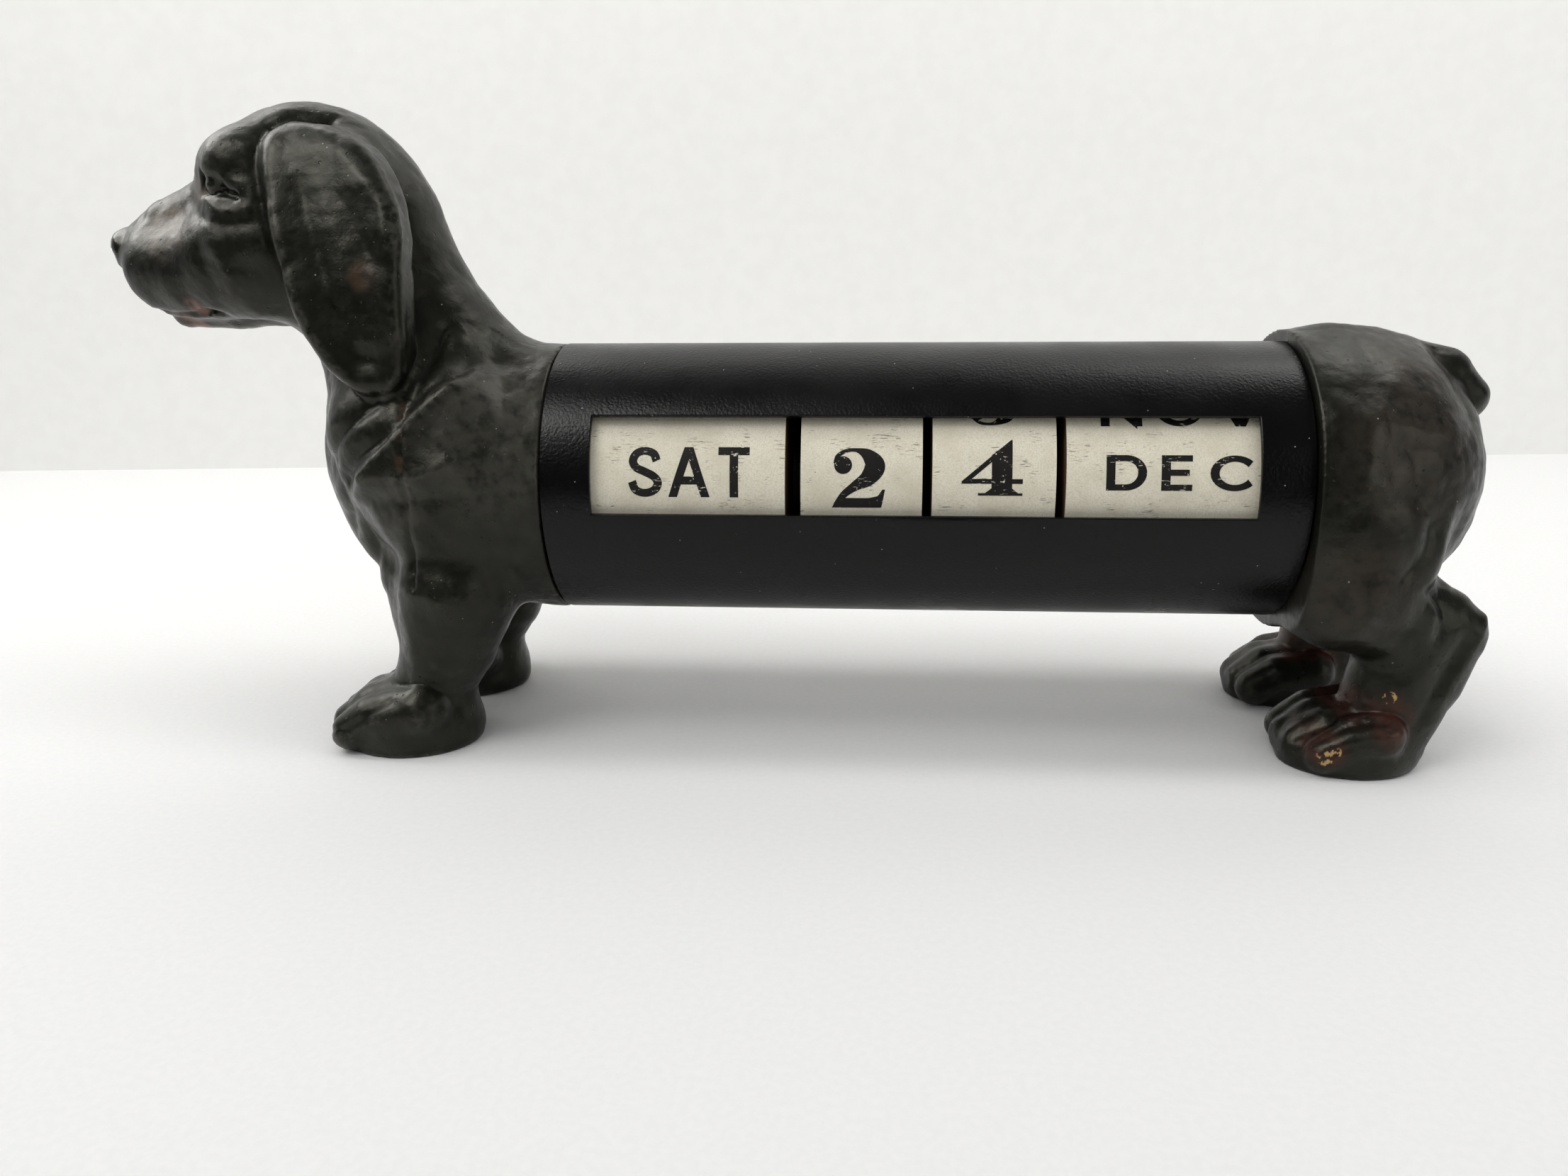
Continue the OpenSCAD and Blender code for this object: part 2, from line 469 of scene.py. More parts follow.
class Sculpture:
    """Field of distances over the two halves of a casting, each measured from the middle plane."""

    def __init__(self, low: Point, high: Point, step: float) -> None:
        """Lays out the empty field.

        Args:
            low: Lowest corner; its side is taken as half a step.
            high: Highest corner.
            step: Distance between samples.
        """
        self.step = step
        start = (low[0], step / 2, low[2])
        self.axes = [np.arange(a, b + step, step) for a, b in zip(start, high)]
        self.values = np.full([len(BOTH), *(len(a) for a in self.axes)], FAR_AWAY, np.float32)

    def _part(self, solid: Solid, margin: float) -> tuple[tuple[slice, ...], Array]:
        """Finds the samples near a solid and its distances there.

        Args:
            solid: What is measured.
            margin: How far around it to look.

        Returns:
            Slices of the samples near it, and the distances there.
        """
        low, high = solid.box()
        parts = []
        for axis, a, b in zip(self.axes, low - margin, high + margin):
            parts.append(slice(int(np.searchsorted(axis, a)), int(np.searchsorted(axis, b, "right"))))
        out, side, up = (axis[p] for axis, p in zip(self.axes, parts))
        near = solid.distance(out[:, None, None], side[None, :, None], up[None, None, :])
        return tuple(parts), near.astype(np.float32)

    def add(self, solid: Solid, blend: float, halves: Sequence[int] = BOTH) -> None:
        """Joins a solid on.

        Formula: smooth minimum, the lower value less a quarter-square bump where both are near.

        Args:
            solid: What is joined.
            blend: Width of the blend.
            halves: Halves that get it.
        """
        part, near = self._part(solid, 2 * blend + 2 * self.step)
        for half in halves:
            old = self.values[(half, *part)]
            h = np.maximum(blend - np.abs(old - near), 0) / blend
            self.values[(half, *part)] = np.minimum(old, near) - h * h * blend / 4

    def cut(self, solid: Solid, blend: float, halves: Sequence[int] = BOTH) -> None:
        """Takes a solid away, with the same blend as add.

        Args:
            solid: What is taken away.
            blend: Width of the blend.
            halves: Halves that lose it.
        """
        part, near = self._part(solid, 2 * blend + 2 * self.step)
        for half in halves:
            old = self.values[(half, *part)]
            h = np.maximum(blend - np.abs(old + near), 0) / blend
            self.values[(half, *part)] = np.maximum(old, -near) + h * h * blend / 4

    def keep(self, distance: Array) -> None:
        """Keeps only what lies on the negative side of a distance given over the whole field."""
        self.values = np.maximum(self.values, distance.astype(np.float32))

    def grids(self) -> tuple[Array, Array, Array]:
        """Gives the samples' out, side and up, ready to broadcast."""
        out, side, up = self.axes
        return out[:, None, None], side[None, :, None], up[None, None, :]

    def skin(self) -> tuple[Array, Array]:
        """Turns the two halves of the field into one closed skin.

        Formula: one corner in each cell that the surface crosses, at the mean of its crossings along
        the cell's edges, and one quad around each grid edge whose ends lie on different sides.

        Returns:
            Corners as (out, side, up), and quads that face outwards.
        """
        left, right = self.values
        field_values = np.concatenate([right[:, ::-1], left], axis=1)
        padded = np.pad(field_values, 1, constant_values=1.0)
        start = np.array([self.axes[0][0], -self.axes[1][-1], self.axes[2][0]]) - self.step
        inside = padded < 0
        cells = tuple(n - 1 for n in padded.shape)
        count = np.zeros(cells, np.uint8)
        corners = list(np.ndindex(2, 2, 2))
        for c in corners:
            count += inside[tuple(slice(k, k + n) for k, n in zip(c, cells))]
        cell = np.argwhere((count > 0) & (count < 8))
        number = np.full(cells, -1, np.int32)
        number[tuple(cell.T)] = np.arange(len(cell))
        value = np.stack([padded[tuple((cell + c).T)] for c in corners], axis=1).astype(float)
        place = np.zeros((len(cell), 3))
        hits = np.zeros(len(cell))
        for m, a in enumerate(corners):
            for n, b in enumerate(corners):
                if n <= m or sum(abs(p - q) for p, q in zip(a, b)) != 1:
                    continue
                crossed = (value[:, m] < 0) != (value[:, n] < 0)
                t = np.where(crossed, value[:, m] / np.where(crossed, value[:, m] - value[:, n], 1), 0)
                spot = np.array(a) + t[:, None] * (np.array(b) - np.array(a))
                place += np.where(crossed[:, None], spot, 0)
                hits += crossed
        points = start + self.step * (cell + place / hits[:, None])
        quads = []
        for axis in range(3):
            u, v = (axis + 1) % 3, (axis + 2) % 3
            ahead = np.moveaxis(inside, (axis, u, v), (0, 1, 2))
            change = ahead[:-1, 1:-1, 1:-1] != ahead[1:, 1:-1, 1:-1]
            i, j, k = np.nonzero(change)
            j, k = j + 1, k + 1
            lookup = np.moveaxis(number, (axis, u, v), (0, 1, 2))
            ring = [lookup[i, j - 1, k - 1], lookup[i, j, k - 1], lookup[i, j, k], lookup[i, j - 1, k]]
            quad = np.stack(ring, axis=1)
            solid_first = ahead[i, j, k]
            quads.append(np.where(solid_first[:, None], quad, quad[:, ::-1]))
        return points, np.concatenate(quads)


@dataclass(frozen=True)
class Crease:
    """A fold drawn on a casting's flank: raised when its height is positive, pressed in when negative.

    Args:
        line: (out, up) points of the fold's middle line.
        height: Height of the fold.
        width: Half its width.
        side: Least distance from the middle plane at which it shows.
    """

    line: Sequence[tuple[float, float]]
    height: float
    width: float
    side: float = 0.0


def vertex_normals(points: Array, quads: Array) -> Array:
    """Gives the unit normal at each corner, from the diagonals of the quads around it.

    Args:
        points: Corners, one row each.
        quads: Quads of the skin.

    Returns:
        One normal for each corner.
    """
    a, b, c, d = (points[quads[:, k]] for k in range(4))
    flat = np.cross(c - a, d - b)
    normals = np.zeros_like(points)
    for axis in range(3):
        for k in range(4):
            normals[:, axis] += np.bincount(quads[:, k], flat[:, axis], len(points))
    return normals / np.maximum(np.linalg.norm(normals, axis=1, keepdims=True), TINY)


def neighbour_mean(values: Array, quads: Array) -> Array:
    """Gives the mean of each corner's neighbours along the quads' sides.

    Args:
        values: One row for each corner.
        quads: Quads of the skin.

    Returns:
        One row for each corner.
    """
    total, count = np.zeros_like(values), np.zeros(len(values))
    for a, b in ((0, 1), (1, 2), (2, 3), (3, 0)):
        for p, q in ((a, b), (b, a)):
            count += np.bincount(quads[:, p], minlength=len(values))
            for axis in range(values.shape[1]):
                total[:, axis] += np.bincount(quads[:, p], values[quads[:, q], axis], len(values))
    return total / count[:, None]


def line_distance(line: Sequence[Sequence[float]], places: Array) -> Array:
    """Gives each place's distance to a line of straight stretches.

    Args:
        line: Points of the line, in order.
        places: Places, one row each.

    Returns:
        One distance for each place.
    """
    best = np.full(len(places), np.inf)
    pts = np.asarray(line, float)
    for a, b in zip(pts[:-1], pts[1:]):
        along = b - a
        t = np.clip((places - a) @ along / max(float(along @ along), TINY), 0, 1)
        best = np.minimum(best, np.linalg.norm(places - a - t[:, None] * along, axis=1))
    return best


# ---------------------------------------------------------------------------------------------
# Finishes
# ---------------------------------------------------------------------------------------------

Socket = bpy.types.NodeSocket
Colour = tuple[float, float, float]


class Recipe:
    """Small helper that wires one procedural material."""

    # Places of the colour sockets on a mix node, whose names repeat for each kind of data.
    MIX_A, MIX_B, MIX_RESULT = 6, 7, 2

    def __init__(self, name: str) -> None:
        """Starts an empty material with a Principled surface.

        Args:
            name: Name of the material.
        """
        self.material = bpy.data.materials.new(name)
        self.material.use_nodes = True
        self.tree = self.material.node_tree
        self.tree.nodes.clear()
        output = self.tree.nodes.new("ShaderNodeOutputMaterial")
        self.surface = self.tree.nodes.new("ShaderNodeBsdfPrincipled")
        self.tree.links.new(self.surface.outputs["BSDF"], output.inputs["Surface"])
        self.place = self.tree.nodes.new("ShaderNodeTexCoord").outputs["Object"]

    def put(self, value: Socket | float | Colour, socket: Socket) -> None:
        """Links a socket, or sets a constant on it.

        Args:
            value: What the socket gets.
            socket: Socket that gets it.
        """
        if isinstance(value, bpy.types.NodeSocket):
            self.tree.links.new(value, socket)
        elif isinstance(value, tuple):
            socket.default_value = (*value, 1.0) if socket.type == "RGBA" else value
        else:
            socket.default_value = value

    def noise(
        self, size_mm: float, detail: float = 3.0, stretch: Point = (1, 1, 1), rough: float = 0.55
    ) -> Socket:
        """Gives noise from 0 to 1.

        Args:
            size_mm: Size of its patches.
            detail: Octaves.
            stretch: How many times longer the patches are along each axis.
            rough: Strength of the finer octaves.

        Returns:
            The noise's value.
        """
        node = self.pattern("ShaderNodeTexNoise", size_mm, stretch)
        node.inputs["Detail"].default_value = detail
        node.inputs["Roughness"].default_value = rough
        return node.outputs["Fac"]

    def cells(self, size_mm: float) -> Socket:
        """Gives the distance to the nearest of scattered points, in shares of their spacing."""
        return self.pattern("ShaderNodeTexVoronoi", size_mm, (1, 1, 1)).outputs["Distance"]

    def pattern(self, kind: str, size_mm: float, stretch: Point) -> bpy.types.Node:
        """Adds a texture that reads the piece's own place.

        Args:
            kind: Type of the texture node.
            size_mm: Size of its patches.
            stretch: How many times longer the patches are along each axis.

        Returns:
            The texture's node.
        """
        mapping = self.tree.nodes.new("ShaderNodeMapping")
        mapping.inputs["Scale"].default_value = tuple(1 / (size_mm * METRES * s) for s in stretch)
        self.tree.links.new(self.place, mapping.inputs["Vector"])
        node = self.tree.nodes.new(kind)
        self.tree.links.new(mapping.outputs["Vector"], node.inputs["Vector"])
        node.inputs["Scale"].default_value = 1.0
        return node

    def both(self, a: Socket | float, b: Socket | float) -> Socket:
        """Multiplies two shares."""
        return self.math("MULTIPLY", a, b)

    def span(
        self, value: Socket, low: float, high: float, to_low: float = 0.0, to_high: float = 1.0
    ) -> Socket:
        """Eases a value from one range to another, clipped at both ends.

        Args:
            value: What is eased.
            low: Where the first range starts.
            high: Where it ends.
            to_low: Where the second range starts.
            to_high: Where it ends.

        Returns:
            The eased value.
        """
        node = self.tree.nodes.new("ShaderNodeMapRange")
        node.interpolation_type = "SMOOTHSTEP"
        self.tree.links.new(value, node.inputs["Value"])
        limits = {"From Min": low, "From Max": high, "To Min": to_low, "To Max": to_high}
        if low > high:
            limits = {"From Min": high, "From Max": low, "To Min": to_high, "To Max": to_low}
        for key, number in limits.items():
            node.inputs[key].default_value = number
        return node.outputs["Result"]

    def math(self, kind: str, a: Socket | float, b: Socket | float) -> Socket:
        """Combines two values with a named operation, clipped from 0 to 1.

        Args:
            kind: Name of the operation.
            a: First value.
            b: Second value.

        Returns:
            The result.
        """
        node = self.tree.nodes.new("ShaderNodeMath")
        node.operation = kind
        node.use_clamp = True
        self.put(a, node.inputs[0])
        self.put(b, node.inputs[1])
        return node.outputs["Value"]

    def mix(self, share: Socket | float, a: Socket | Colour, b: Socket | Colour) -> Socket:
        """Mixes two colours.

        Args:
            share: Share of the second colour.
            a: First colour.
            b: Second colour.

        Returns:
            The mixed colour.
        """
        node = self.tree.nodes.new("ShaderNodeMix")
        node.data_type = "RGBA"
        self.put(share, node.inputs["Factor"])
        self.put(a, node.inputs[self.MIX_A])
        self.put(b, node.inputs[self.MIX_B])
        return node.outputs[self.MIX_RESULT]

    def mark(self, name: str) -> Socket:
        """Gives a piece's own painted mark, from 0 to 1.

        Args:
            name: Name of the mark.

        Returns:
            Its value.
        """
        node = self.tree.nodes.new("ShaderNodeAttribute")
        node.attribute_name = name
        return node.outputs["Fac"]

    def bump(self, *layers: tuple[Socket, float]) -> None:
        """Roughens the surface with layers of (height from 0 to 1, depth in millimetres).

        Args:
            *layers: Height and depth of each layer.
        """
        normal = None
        for value, depth in layers:
            node = self.tree.nodes.new("ShaderNodeBump")
            node.inputs["Distance"].default_value = depth * METRES
            self.tree.links.new(value, node.inputs["Height"])
            if normal is not None:
                self.tree.links.new(normal, node.inputs["Normal"])
            normal = node.outputs["Normal"]
        self.tree.links.new(normal, self.surface.inputs["Normal"])

    def finish(
        self, colour: Socket | Colour, rough: Socket | float, **more: Socket | float | Colour
    ) -> bpy.types.Material:
        """Sets the surface and gives the material.

        Args:
            colour: Base colour.
            rough: Roughness.
            **more: Other inputs of the surface, with spaces written as underscores.

        Returns:
            The material.
        """
        self.put(colour, self.surface.inputs["Base Color"])
        self.put(rough, self.surface.inputs["Roughness"])
        for key, value in more.items():
            self.put(value, self.surface.inputs[key.replace("_", " ")])
        return self.material


class Finish(Protocol):
    """A finish that can be turned into a material."""

    def material(self) -> bpy.types.Material:
        """Makes the material."""


@dataclass(frozen=True)
class CastPaint:
    """Satin charcoal paint over a casting, rubbed on its crests and antiqued with brown; its hollows are
    painted darker as shade, and pale patches are painted sheen.
    """

    name: str
    charcoal: Colour = (0.0088, 0.0090, 0.0066)
    # Dark tone: laid at random as darker paint, and as painted shade in the hollows.
    dark_tone_and_hollow_shade: Colour = (0.0026, 0.0027, 0.0019)
    # Pale colour: worn paint on the crests, and also painted sheen on the front's shoulder and chest.
    rubbed_and_sheen: Colour = (0.044, 0.043, 0.036)
    brown: Colour = (0.078, 0.046, 0.029)
    red: Colour = (0.060, 0.017, 0.012)
    flesh: Colour = (0.22, 0.11, 0.085)
    tan: Colour = (0.42, 0.27, 0.12)
    dust: Colour = (0.40, 0.39, 0.36)
    tint: Colour = (1.0, 0.985, 0.84)

    def material(self) -> bpy.types.Material:
        """Makes the material.

        Returns:
            The material.
        """
        r = Recipe(self.name)
        blotch, grain, fine = r.noise(9.0, 4.0), r.noise(1.6, 3.0), r.noise(0.35, 2.0)
        crest, gloss = r.mark("crest"), r.mark("gloss")
        colour = r.mix(r.span(blotch, 0.35, 0.7), self.charcoal, self.dark_tone_and_hollow_shade)
        # Painted shade: hollows that sink below their neighbours are darkened towards the dark tone.
        colour = r.mix(r.span(crest, 0.40, 0.12), colour, self.dark_tone_and_hollow_shade)
        # Worn paint: crests that stand out are rubbed paler.
        rubbed_and_sheen = r.both(r.span(crest, 0.56, 0.85), r.span(grain, 0.35, 0.62))
        colour = r.mix(r.both(rubbed_and_sheen, 0.8), colour, self.rubbed_and_sheen)
        # The first patch, on the front's shoulder and chest, is painted sheen: pale where those surfaces
        # catch the light.
        patches = (
            ("rubbed_and_sheen", self.rubbed_and_sheen, 0.8),
            ("brown", self.brown, 0.6),
            ("red", self.red, 0.65),
            ("flesh", self.flesh, 0.7),
        )
        for mark, tint, strength in patches:
            share = r.both(r.mark(mark), r.span(r.noise(3.2, 4.0), 0.24, 0.60))
            colour = r.mix(r.both(share, strength), colour, tint)
        chip = r.both(r.span(r.mark("chip"), 0.3, 0.7), r.span(r.noise(1.1, 3.0), 0.51, 0.60))
        colour = r.mix(chip, colour, self.tan)
        speck = r.both(r.span(r.cells(3.1), 0.060, 0.035), r.span(r.noise(5.0, 1.0), 0.52, 0.6))
        colour = r.mix(r.both(speck, 0.6), colour, self.dust)
        rough = r.math("ADD", r.span(blotch, 0.3, 0.7, 0.25, 0.36), r.span(grain, 0.3, 0.7, 0.0, 0.09))
        rough = r.math("SUBTRACT", rough, r.both(gloss, 0.17))
        pits = r.both(r.span(r.cells(1.9), 0.17, 0.10), r.span(r.noise(6.0, 1.0), 0.50, 0.60))
        r.bump((r.noise(2.6, 3.0), 0.11), (grain, 0.06), (fine, 0.016), (pits, -0.10))
        return r.finish(colour, rough, Specular_IOR_Level=0.27, Specular_Tint=self.tint)


@dataclass(frozen=True)
class PowderCoat:
    """Black semi-gloss powder coat with a fine wrinkle and a few dust specks."""

    name: str
    black: Colour = (0.0010, 0.0011, 0.0011)
    dust: Colour = (0.35, 0.35, 0.34)

    def material(self) -> bpy.types.Material:
        """Makes the material.

        Returns:
            The material.
        """
        r = Recipe(self.name)
        cloud, wrinkle = r.noise(14.0, 3.0), r.noise(0.55, 2.0, rough=0.5)
        speck = r.both(r.span(r.cells(2.6), 0.06, 0.035), r.span(r.noise(7.0, 1.0), 0.5, 0.6))
        colour = r.mix(r.both(speck, 0.8), self.black, self.dust)
        r.bump((r.noise(2.2, 2.0), 0.024), (wrinkle, 0.065))
        return r.finish(colour, r.span(cloud, 0.3, 0.7, 0.26, 0.35), Specular_IOR_Level=0.23)


class Pulp(Enum):
    """How a paper or board surface is coloured and finished."""

    LABEL = ((0.80, 0.755, 0.62), (0.60, 0.545, 0.415), 0.62, 0.012)
    BOARD = ((0.22, 0.125, 0.07), (0.12, 0.07, 0.04), 0.85, 0.05)

    def __init__(self, light: Colour, dark: Colour, rough: float, relief: float) -> None:
        """Keeps the colours, roughness and relief in millimetres."""
        self.light, self.dark, self.rough, self.relief = light, dark, rough, relief


@dataclass(frozen=True)
class Paper:
    """Paper or board; a printed one blends its ink back to paper where it is worn.

    Args:
        name: Name of the material.
        pulp: Colour and finish of the sheet.
        ink: Whether the surface is printed solid.
    """

    name: str
    pulp: Pulp
    ink: bool = False

    INK, GREYED_INK = (0.0042, 0.0034, 0.0030), (0.009, 0.007, 0.006)
    STREAK, DOT = (0.09, 0.08, 0.065), (0.06, 0.05, 0.04)

    def material(self) -> bpy.types.Material:
        """Makes the material.

        Returns:
            The material.
        """
        r = Recipe(self.name)
        grain, cloud = r.noise(0.28, 3.0), r.noise(6.0, 3.0)
        colour = r.mix(r.span(cloud, 0.35, 0.75, 0.0, 0.55), self.pulp.light, self.pulp.dark)
        colour = r.mix(r.span(grain, 0.38, 0.68, 0.0, 0.65), colour, self.pulp.dark)
        if self.pulp is Pulp.LABEL:
            scratches, where = r.noise(0.20, 2.0, (9, 1, 1)), r.noise(4.2, 2.0)
            streak = r.both(r.span(scratches, 0.56, 0.66), r.span(where, 0.55, 0.64))
            colour = r.mix(r.both(streak, 0.75), colour, self.STREAK)
            dot = r.both(r.span(r.cells(2.3), 0.055, 0.035), r.span(r.noise(4.0, 1.0), 0.50, 0.58))
            colour = r.mix(r.both(dot, 0.8), colour, self.DOT)
        rough = self.pulp.rough
        if self.ink:
            flakes, scrapes = r.noise(0.60, 4.0, rough=0.62), r.noise(0.26, 3.0, (6, 1, 1))
            flake = r.both(r.span(flakes, 0.625, 0.650), r.span(r.noise(2.6, 2.0), 0.50, 0.60))
            scrape = r.both(r.span(scrapes, 0.62, 0.65), r.span(r.noise(4.2, 2.0), 0.52, 0.60))
            worn = r.math("MAXIMUM", flake, scrape)
            colour = r.mix(worn, r.mix(r.span(cloud, 0.3, 0.7), self.INK, self.GREYED_INK), colour)
            rough = r.span(worn, 0.0, 1.0, 0.56, self.pulp.rough)
        r.bump((grain, self.pulp.relief))
        return r.finish(colour, rough, Specular_IOR_Level=0.3)


@dataclass(frozen=True)
class Plain:
    """A quiet finish of two close tones, for the hidden hardware and the stage.

    Args:
        name: Name of the material.
        light: Lighter tone.
        dark: Darker tone.
        rough: Roughness.
        size_mm: Size of the tone's patches.
        stretch: How many times longer the patches are along each axis.
        metal: Metalness.
        relief: Depth of the surface's grain in millimetres.
    """

    name: str
    light: Colour
    dark: Colour
    rough: float
    size_mm: float = 2.0
    stretch: Point = (1, 1, 1)
    metal: float = 0.0
    relief: float = 0.01

    def material(self) -> bpy.types.Material:
        """Makes the material.

        Returns:
            The material.
        """
        r = Recipe(self.name)
        tone = r.noise(self.size_mm, 4.0, self.stretch)
        r.bump((tone, self.relief))
        colour = r.mix(r.span(tone, 0.32, 0.68), self.dark, self.light)
        return r.finish(colour, r.span(tone, 0.3, 0.7, self.rough, self.rough * 0.85), Metallic=self.metal)


# ---------------------------------------------------------------------------------------------
# Castings
# ---------------------------------------------------------------------------------------------


@dataclass(frozen=True)
class Bore:
    """Round hole along `out`, open at the joint face.

    Formula: the larger of the distance past its wall and the distance past its floor.

    Args:
        axis_up: Height of its axis.
        radius: Radius.
        depth: Depth from the tube's end.
    """

    axis_up: float
    radius: float
    depth: float

    START = -2.0

    def box(self) -> tuple[Array, Array]:
        """Gives the lowest and highest corners around the bore."""
        r = self.radius
        return np.array([self.START, -r, self.axis_up - r]), np.array([self.depth, r, self.axis_up + r])

    def distance(self, out: Array, side: Array, up: Array) -> Array:
        """Gives the distance to the bore's wall, negative inside."""
        wall = np.sqrt(side**2 + (up - self.axis_up) ** 2) - self.radius
        return np.maximum(wall, out - self.depth + 0 * wall)


@dataclass(frozen=True)
class Mark:
    """A painted patch on a casting's flank.

    Args:
        kind: Name of the mark in the material.
        spot: Its middle (out, up).
        radius: Its radius.
        side: Least distance from the middle plane at which it shows.
    """

    kind: str
    spot: tuple[float, float]
    radius: float
    side: float = 0.0


@dataclass
class Casting:
    """One half of the dog, sculpted and mirrored, then folded and weathered."""

    layout: Layout
    finish: CastPaint
    seed: int = 1

    NODE = ""
    SLOT = ""
    OUTWARD = 1.0
    STEP = 0.66
    SEAM = 0.35
    SEAM_LEAN = 0.35
    SEAM_FADE = (0.2, 2.4)
    SOLE_FADE = (0.1, 1.6)
    # Radius and depth of the holes for the plug's boss and for the axle's end.
    BORES = ((18.3, 8.15), (7.9, 16.9))
    # Around the holes the surface stays true, out to this radius and depth.
    TRUE_RADIUS, TRUE_DEPTH = 19.5, 18
    SHARP = 1.4
    FLANK_FACING = (0.05, 0.4)
    # Unevenness of the surface: size of the patches and their depth.
    PLANES, DIMPLES, GRAIN = (8.5, 0.38), (3.6, 0.14), (1.5, 0.07)
    PATCH_CORE = 0.35
    CREST_GAIN, CREST_ROUNDS, CREST_FADE = 1.6, 4, (1, 4)
    # Kinds of mark stored on the skin; the pale first kind is painted sheen, gloss sets roughness and crest
    # measures how far a point stands out.
    MARKS = ("rubbed_and_sheen", "brown", "red", "flesh", "chip", "gloss", "crest")

    def sculpt(self) -> Sculpture:
        """Blends the solids of the casting."""
        raise NotImplementedError

    def creases(self) -> Sequence[Crease]:
        """Gives the folds drawn on the flanks."""
        raise NotImplementedError

    def marks(self) -> Sequence[Mark]:
        """Gives the painted patches."""
        raise NotImplementedError

    def close_up(self, shape: Sculpture) -> None:
        """Cuts the flat soles, the joint face and the sockets of the plug and the axle's end.

        Args:
            shape: The sculpture that is cut.
        """
        out, side, up = shape.grids()
        lean = self.SEAM_LEAN * (self.layout.axle_h - up) / self.layout.tube_r
        shape.keep(self.SEAM + np.maximum(lean, 0) - out + 0 * side)
        shape.keep(0 * out + 0 * side - up)
        for radius, depth in self.BORES:
            shape.cut(Bore(self.layout.axle_h, radius, depth), 0.2)

    def fold(self, points: Array, normals: Array) -> Array:
        """Gives how far each point is pushed out by the folds.

        Formula: each fold's height times a peaked curve of the distance to its line, on flanks only.

        Args:
            points: Corners as (out, side, up).
            normals: Their normals.

        Returns:
            One height for each point.
        """
        push = np.zeros(len(points))
        facing = rounded(*self.FLANK_FACING, normals[:, 1] * np.sign(points[:, 1]))
        flank, depth = points[:, [0, 2]], np.abs(points[:, 1])
        for crease in self.creases():
            line = spline(crease.line, 6)
            low, high = line.min(0) - 3 * crease.width, line.max(0) + 3 * crease.width
            near = np.nonzero(((flank > low) & (flank < high)).all(axis=1) & (depth > crease.side))[0]
            gap = line_distance(line, flank[near])
            push[near] += crease.height * np.exp(-((gap / crease.width) ** self.SHARP)) * facing[near]
        return push

    def weather(self, points: Array) -> Array:
        """Gives the unevenness of the hand-worked surface: broad planes, dimples and grain.

        Args:
            points: Corners as (out, side, up).

        Returns:
            One height for each point.
        """
        planes, dimples, grain = Noise(self.seed), Noise(self.seed + 1), Noise(self.seed + 2)
        broad = np.abs(planes.at(points, self.PLANES[0])) * 1.1 - 0.3
        small = self.DIMPLES[1] * dimples.at(points, self.DIMPLES[0])
        return self.PLANES[1] * broad + small + self.GRAIN[1] * grain.at(points, self.GRAIN[0])

    def paint(self, mesh: bpy.types.Mesh, points: Array, normals: Array, quads: Array) -> None:
        """Stores the painted patches and how far each point stands out from its neighbours.

        Args:
            mesh: Mesh that stores them.
            points: Its corners as (out, side, up).
            normals: Their normals.
            quads: Quads of the skin.
        """
        values = {kind: np.zeros(len(points)) for kind in self.MARKS}
        for mark in self.marks():
            gap = np.hypot(points[:, 0] - mark.spot[0], points[:, 2] - mark.spot[1])
            share = 1 - rounded(self.PATCH_CORE * mark.radius, mark.radius, gap)
            share *= rounded(mark.side - 1, mark.side + 1, np.abs(points[:, 1]))
            values[mark.kind] = np.maximum(values[mark.kind], share)
        smooth = points
        for _ in range(self.CREST_ROUNDS):
            smooth = neighbour_mean(smooth, quads)
        crest = self.CREST_GAIN * np.sum((points - smooth) * normals, axis=1)
        values["crest"] = np.clip(0.5 + crest * rounded(*self.CREST_FADE, points[:, 0]), 0, 1)
        for kind, value in values.items():
            mesh.attributes.new(kind, "FLOAT", "POINT").data.foreach_set("value", value.astype(np.float32))

    def build(self) -> bpy.types.Object:
        """Makes the casting.

        Returns:
            The finished piece.
        """
        points, quads = self.sculpt().skin()
        normals = vertex_normals(points, quads)
        above, beyond = points[:, 2], points[:, 0] - self.SEAM
        free = rounded(*self.SOLE_FADE, above) * rounded(*self.SEAM_FADE, beyond)
        inner = np.hypot(points[:, 1], points[:, 2] - self.layout.axle_h) < self.TRUE_RADIUS
        free = np.where(inner & (points[:, 0] < self.TRUE_DEPTH), 0.0, free)
        points = points + normals * (free * (self.fold(points, normals) + self.weather(points)))[:, None]
        normals = vertex_normals(points, quads)
        turn = np.array([self.OUTWARD, self.OUTWARD, 1.0])
        end = self.layout.tube.high if self.OUTWARD > 0 else self.layout.tube.low
        piece = make_piece(f"{self.NODE}_skin", points * turn + (end, 0, 0), quads, ROOT_BODY)
        self.paint(piece.data, points, normals, quads)
        piece.data.materials.append(self.finish.material())
        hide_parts(self.NODE)
        LOG.info("%s: %d triangles", piece.name, 2 * len(quads))
        return piece


